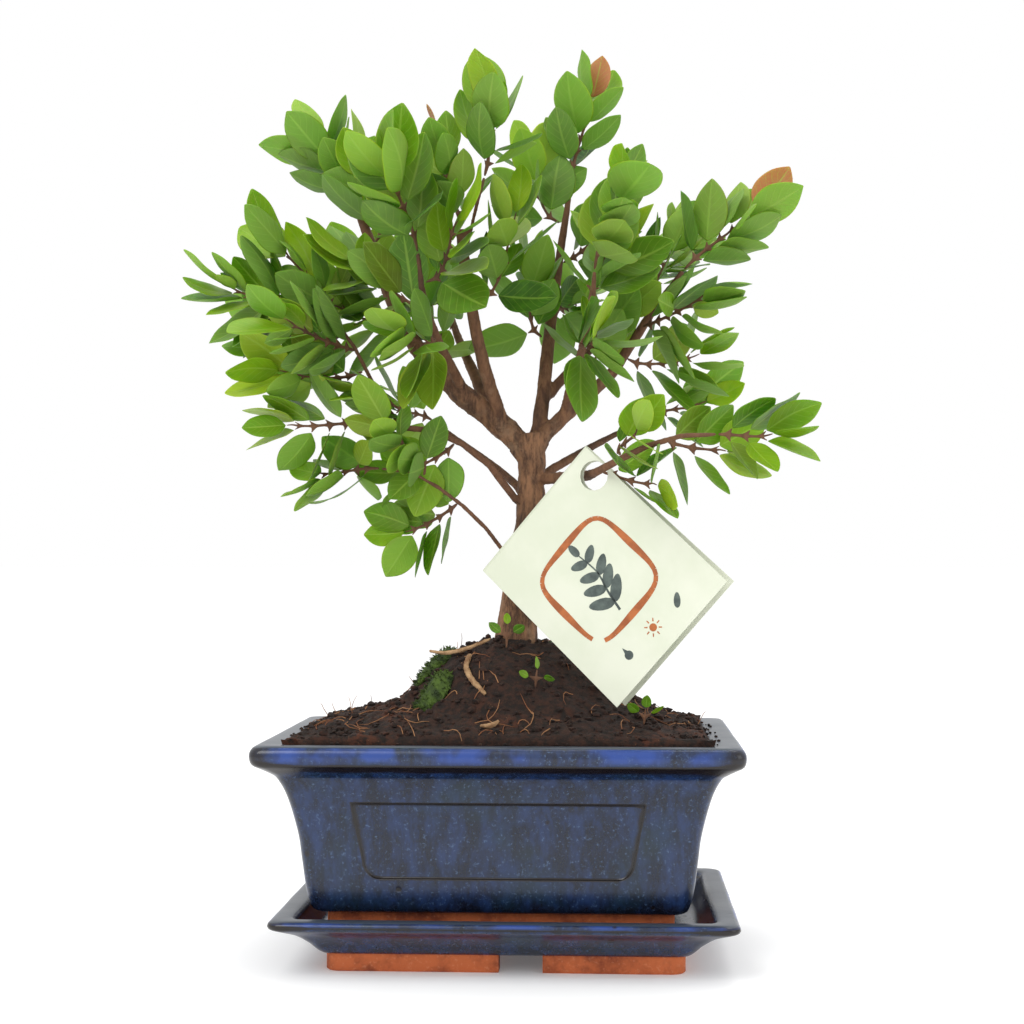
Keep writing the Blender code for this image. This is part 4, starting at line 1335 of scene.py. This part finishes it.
@dataclass
class Card:
    """The folded card and its print. Its turn is lean, roll and turn in degrees."""

    turn: tuple[float, float, float] = (-2.0, -48.0, -22.0)
    ink: float = 0.00004
    rotation: Matrix = field(init=False)
    low: Vector = field(init=False)
    high: Vector = field(init=False)

    def __post_init__(self) -> None:
        """Finds the card's own axes and its box along them."""
        lean, roll, turn = (math.radians(angle) for angle in self.turn)
        self.rotation = (
            Matrix.Rotation(turn, 3, "Z") @ Matrix.Rotation(lean, 3, "X") @ Matrix.Rotation(roll, 3, "Y")
        )
        back = self.rotation.transposed()
        points = [back @ vert.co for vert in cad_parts["label_card"].data.vertices]
        self.low = Vector(min(point[axis] for point in points) for axis in range(3))
        self.high = Vector(max(point[axis] for point in points) for axis in range(3))

    def on_front(self, x: float, z: float, lift: float = 0.0) -> Vector:
        """A place on the front panel: x from its middle, z down from the fold, both in metres."""
        middle = (self.low.x + self.high.x) / 2
        return self.rotation @ Vector((middle + x, self.low.y - lift, self.high.z - z))

    def build(self, stock: bpy.types.Material) -> bpy.types.Object:
        """Makes the card itself, with soft edges."""
        bm = merged("label_card")
        bmesh.ops.dissolve_limit(bm, angle_limit=math.radians(1), verts=bm.verts, edges=bm.edges)
        made = piece("folded_card", bm, [stock], ["label_card"], 40.0)
        soften = made.modifiers.new("edge", "BEVEL")
        soften.width = 0.00008
        soften.segments = 2
        soften.limit_method = "ANGLE"
        return made

    def add_shape(self, bm: bmesh.types.BMesh, outline: Sequence[tuple[float, float]], ink: int) -> None:
        """Prints one filled shape.

        Args:
            bm: The print's mesh.
            outline: Its outline in card millimetres, x to the right and z down from the fold.
            ink: Which ink it is printed in.
        """
        verts = [bm.verts.new(self.on_front(x * MM, z * MM, 0.00001)) for x, z in outline]
        face = bm.faces.new(verts)
        face.material_index = ink
        grown = bmesh.ops.extrude_face_region(bm, geom=[face])["geom"]
        out = self.rotation @ Vector((0.0, -self.ink, 0.0))
        raised = [item for item in grown if isinstance(item, bmesh.types.BMVert)]
        bmesh.ops.translate(bm, vec=out, verts=raised)

    def add_band(
        self, bm: bmesh.types.BMesh, centres: Sequence[Vector], widths: Sequence[float], ink: int
    ) -> None:
        """Prints a stroke along a path of card places, in short joined quads."""
        for (a, b), (wide, next_wide) in zip(zip(centres, centres[1:]), zip(widths, widths[1:])):
            way = (b - a).normalized()
            side = Vector((-way.y, way.x))
            corners = [a + side * wide, b + side * next_wide, b - side * next_wide, a - side * wide]
            self.add_shape(bm, [(corner.x, corner.y) for corner in corners], ink)

    def leaf_outline(
        self, base: Vector, way: Vector, length: float, width: float
    ) -> list[tuple[float, float]]:
        """The outline of a printed leaf."""
        side = Vector((-way.y, way.x))
        points = []
        for step in range(16):
            angle = math.tau * step / 16
            u = 0.5 - 0.5 * math.cos(angle)
            place = base + way * length * u + side * width * 0.5 * math.sin(angle) * (1 - 0.25 * u)
            points.append((place.x, place.y))
        return points

    def build_print(self, inks: Sequence[bpy.types.Material]) -> bpy.types.Object:
        """Makes the print: a brushed square frame, a leafy sprig in it and three plain care signs."""
        bm = bmesh.new()
        frame_middle = Vector((-1.5, 33.0))
        frame_path, frame_widths = [], []
        for step in range(61):
            angle = math.tau * (step / 60 * 0.965) + 2.5
            flat = 1 / (abs(math.cos(angle)) ** 5 + abs(math.sin(angle)) ** 5) ** 0.2
            frame_path.append(frame_middle + Vector((math.cos(angle), math.sin(angle))) * 16.0 * flat)
            frame_widths.append(0.75 + 0.45 * math.sin(step * 0.21) ** 2)
        self.add_band(bm, frame_path, frame_widths, 0)
        course = ((-2.0, 12.0), (-0.5, 5.0), (1.5, -2.0), (1.0, -10.0))
        stem = [frame_middle + Vector(place) for place in course]
        path = [Vector((point.x, point.y)) for point in curved([Vector((p.x, p.y, 0.0)) for p in stem], 6)]
        self.add_band(bm, path, [0.45 * (1 - 0.6 * i / len(path)) for i in range(len(path))], 1)
        for number in range(4):
            base = path[3 + number * 4]
            for side in (-1, 1):
                way = Vector((side * 0.85, -0.62 + 0.06 * number)).normalized()
                self.add_shape(bm, self.leaf_outline(base, way, 9.0 - number, 4.4 - 0.3 * number), 1)
        self.add_shape(bm, self.leaf_outline(path[-1], Vector((0.0, -1.0)), 5.0, 3.0), 1)
        self.add_signs(bm)
        bmesh.ops.recalc_face_normals(bm, faces=bm.faces)
        return piece("card_print", bm, inks, (), None)

    def add_signs(self, bm: bmesh.types.BMesh) -> None:
        """Prints a drop, a sun and a leaf as plain care signs in a row under the frame."""
        row = 57.0
        drop = []
        for step in range(14):
            angle = math.tau * step / 14
            point = Vector((math.sin(angle) * 1.5, -math.cos(angle) * 1.5))
            if step == 0:
                point.y = -3.2
            drop.append((-12.0 + point.x, row + point.y))
        self.add_shape(bm, drop, 1)
        angles = [math.tau * step / 14 for step in range(14)]
        disc = [(math.cos(angle) * 1.3, row + math.sin(angle) * 1.3) for angle in angles]
        self.add_shape(bm, disc, 0)
        for ray in range(8):
            angle = math.tau * ray / 8
            way = Vector((math.cos(angle), math.sin(angle)))
            start = Vector((0.0, row)) + way * 1.9
            self.add_band(bm, [start, start + way * 1.1], [0.22, 0.16], 0)
        self.add_shape(bm, self.leaf_outline(Vector((10.0, row + 1.8)), Vector((0.7, -0.7)), 5.0, 2.6), 1)


# ---------------------------------------------------------------- studio


@dataclass
class Studio:
    """A plain pale floor, soft light and the camera."""

    eye: tuple[float, float, float] = (0.0347, -0.620, 0.131)
    turn_left: float = 3.011
    look_up: float = 1.507
    lens: float = 64.16

    def build(self, pot: Vessel) -> None:
        """Sets up everything that isn't the object.

        Args:
            pot: The pot, whose middle the camera is placed from.
        """
        self.add_camera(Vector((pot.middle.x, pot.middle.y, 0.0)) + Vector(self.eye))
        self.add_floor()
        self.add_world()
        self.add_light("key", (-0.45, -0.75, 0.85), 0.55, 4.5)
        self.add_light("fill", (0.9, -0.55, 0.45), 0.6, 1.5)
        self.add_light("top", (0.1, 0.15, 1.05), 0.6, 3.5)
        view = bpy.context.scene.view_settings
        view.view_transform = "Standard"
        view.look = "None"
        view.exposure = 0.0

    def add_camera(self, eye: Vector) -> None:
        """Places the camera."""
        data = bpy.data.cameras.new("camera")
        data.lens = self.lens
        data.sensor_width = 36.0
        data.clip_start = 0.01
        camera = bpy.data.objects.new("camera", data)
        camera.location = eye
        camera.rotation_euler = (math.radians(90 + self.look_up), 0.0, math.radians(self.turn_left))
        bpy.context.scene.collection.objects.link(camera)
        bpy.context.scene.camera = camera

    def add_floor(self) -> None:
        """Lays a wide pale floor."""
        bm = bmesh.new()
        bmesh.ops.create_grid(bm, x_segments=1, y_segments=1, size=30.0)
        mesh = bpy.data.meshes.new("floor")
        bm.to_mesh(mesh)
        bm.free()
        floor = bpy.data.objects.new("floor", mesh)
        bpy.context.scene.collection.objects.link(floor)
        sheet = Sheet("floor")
        pale = {"Base_Color": (0.93, 0.93, 0.93), "Roughness": 0.9, "Specular_IOR_Level": 0.0}
        glow = {"Emission_Color": (1.0, 1.0, 1.0), "Emission_Strength": 0.1}
        mesh.materials.append(sheet.dress(**pale, **glow))

    def add_world(self) -> None:
        """Gives an even white surround."""
        world = bpy.data.worlds.new("surround")
        world.use_nodes = True
        background = world.node_tree.nodes["Background"]
        background.inputs[0].default_value = (1.0, 1.0, 1.0, 1.0)
        background.inputs[1].default_value = 1.0
        bpy.context.scene.world = world

    def add_light(self, name: str, place: tuple[float, float, float], size: float, power: float) -> None:
        """Adds a soft lamp that faces the plant.

        Args:
            name: The lamp's name.
            place: Where it stands.
            size: The side of its square face.
            power: Its power in watts.
        """
        data = bpy.data.lights.new(name, "AREA")
        data.size = size
        data.energy = power
        lamp = bpy.data.objects.new(name, data)
        lamp.location = place
        lamp.rotation_euler = (Vector((0.0, 0.0, 0.14)) - Vector(place)).to_track_quat("-Z", "Y").to_euler()
        bpy.context.scene.collection.objects.link(lamp)


# ---------------------------------------------------------------- the whole


# Walls as (distance in from the rim's edge, height over the vessel's base), in metres.
POT_OUTLINE = (
    (0.0215, 0.0068), (0.0190, 0.0070), (0.0172, 0.0086), (0.0156, 0.0147), (0.0144, 0.0240),
    (0.0133, 0.0326), (0.0105, 0.0439), (0.0076, 0.0503), (0.0052, 0.0524), (0.0026, 0.0540),
    (0.0008, 0.0552), (0.0001, 0.0572), (0.0002, 0.0592), (0.0010, 0.0606), (0.0020, 0.0612),
)
POT_INNER = (
    (0.0040, 0.0613), (0.0080, 0.0611), (0.0097, 0.0606), (0.0112, 0.0580), (0.0135, 0.0500),
    (0.0180, 0.0300),
)
SAUCER_OUTLINE = (
    (0.0215, 0.0058), (0.0168, 0.0057), (0.0148, 0.0061), (0.0126, 0.0082), (0.0112, 0.0097),
    (0.0073, 0.0127), (0.0030, 0.0146), (0.0008, 0.0156), (0.0001, 0.0167), (0.0006, 0.0179),
    (0.0018, 0.0184),
)
SAUCER_INNER = (
    (0.0040, 0.0184), (0.0062, 0.0183), (0.0074, 0.0176), (0.0090, 0.0150), (0.0106, 0.0131),
    (0.0122, 0.0116), (0.0150, 0.0115),
)


def dress_vessels() -> Vessel:
    """Makes the pot and the saucer with their feet.

    Returns:
        The pot.
    """
    glaze = Glaze().build("blue glaze")
    clay = Terracotta().build("unglazed clay")
    pot = Vessel("pot", POT_OUTLINE, POT_INNER, panel=Panel())
    pot.build("glazed_pot", [glaze, clay], Foot(0.0216, 0.0070, 0.0072))
    saucer = Vessel("saucer", SAUCER_OUTLINE, SAUCER_INNER)
    saucer.build("glazed_saucer", [glaze, clay], Foot(0.0165, 0.0080, 0.0062, 0.014, 0.005))
    return pot


def dress_plant() -> None:
    """Makes the bark, the leafy shoots and the seedlings."""
    bark = Bark().build("bark")
    Wood().build(bark)
    skin = LeafSkin()
    upper = skin.build("leaf upper side", Side.UPPER)
    lower = skin.build("leaf lower side", Side.LOWER)
    foliage = Foliage(upper, lower, bark, random.Random(21), surface_tree("trunk_and_branches"))
    reds = {"shoot_06": 1, "shoot_11": 1, "shoot_16": 1}
    for node in sorted(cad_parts):
        if node.startswith("shoot_"):
            foliage.build_shoot(node.replace("shoot", "leafy_shoot"), node, reds.get(node, 0), 0.22)
        elif node.startswith("seedling_"):
            foliage.build_shoot(node.replace("seedling", "sprout"), node, 0, 0.0)


def dress_ground() -> None:
    """Makes the soil and what lies on it."""
    earth = Earth().build("soil")
    mound = SoilMound()
    mound.build(earth)
    mound.build_crumbs(earth)
    mound.build_fibres(FIBRE.build("fibre"))
    moss = MOSS_GREEN.build("moss")
    wood = DRY_WOOD.build("dry wood")
    for number, node in enumerate(sorted(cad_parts)):
        if node.startswith("moss_"):
            MossCushion(node, number).build(moss)
    for node in ("hooked_root", "fallen_twig", "bark_chip"):
        Driftwood(node).build(wood)


def main() -> None:
    logging.basicConfig(level=logging.INFO, format="%(message)s")
    pot = dress_vessels()
    dress_ground()
    dress_plant()
    card = Card()
    card.build(CARD_STOCK.build("card"))
    card.build_print([COPPER_INK.build("copper ink"), SPRIG_INK.build("sprig ink")])
    Studio().build(pot)


if __name__ == "__main__":
    main()
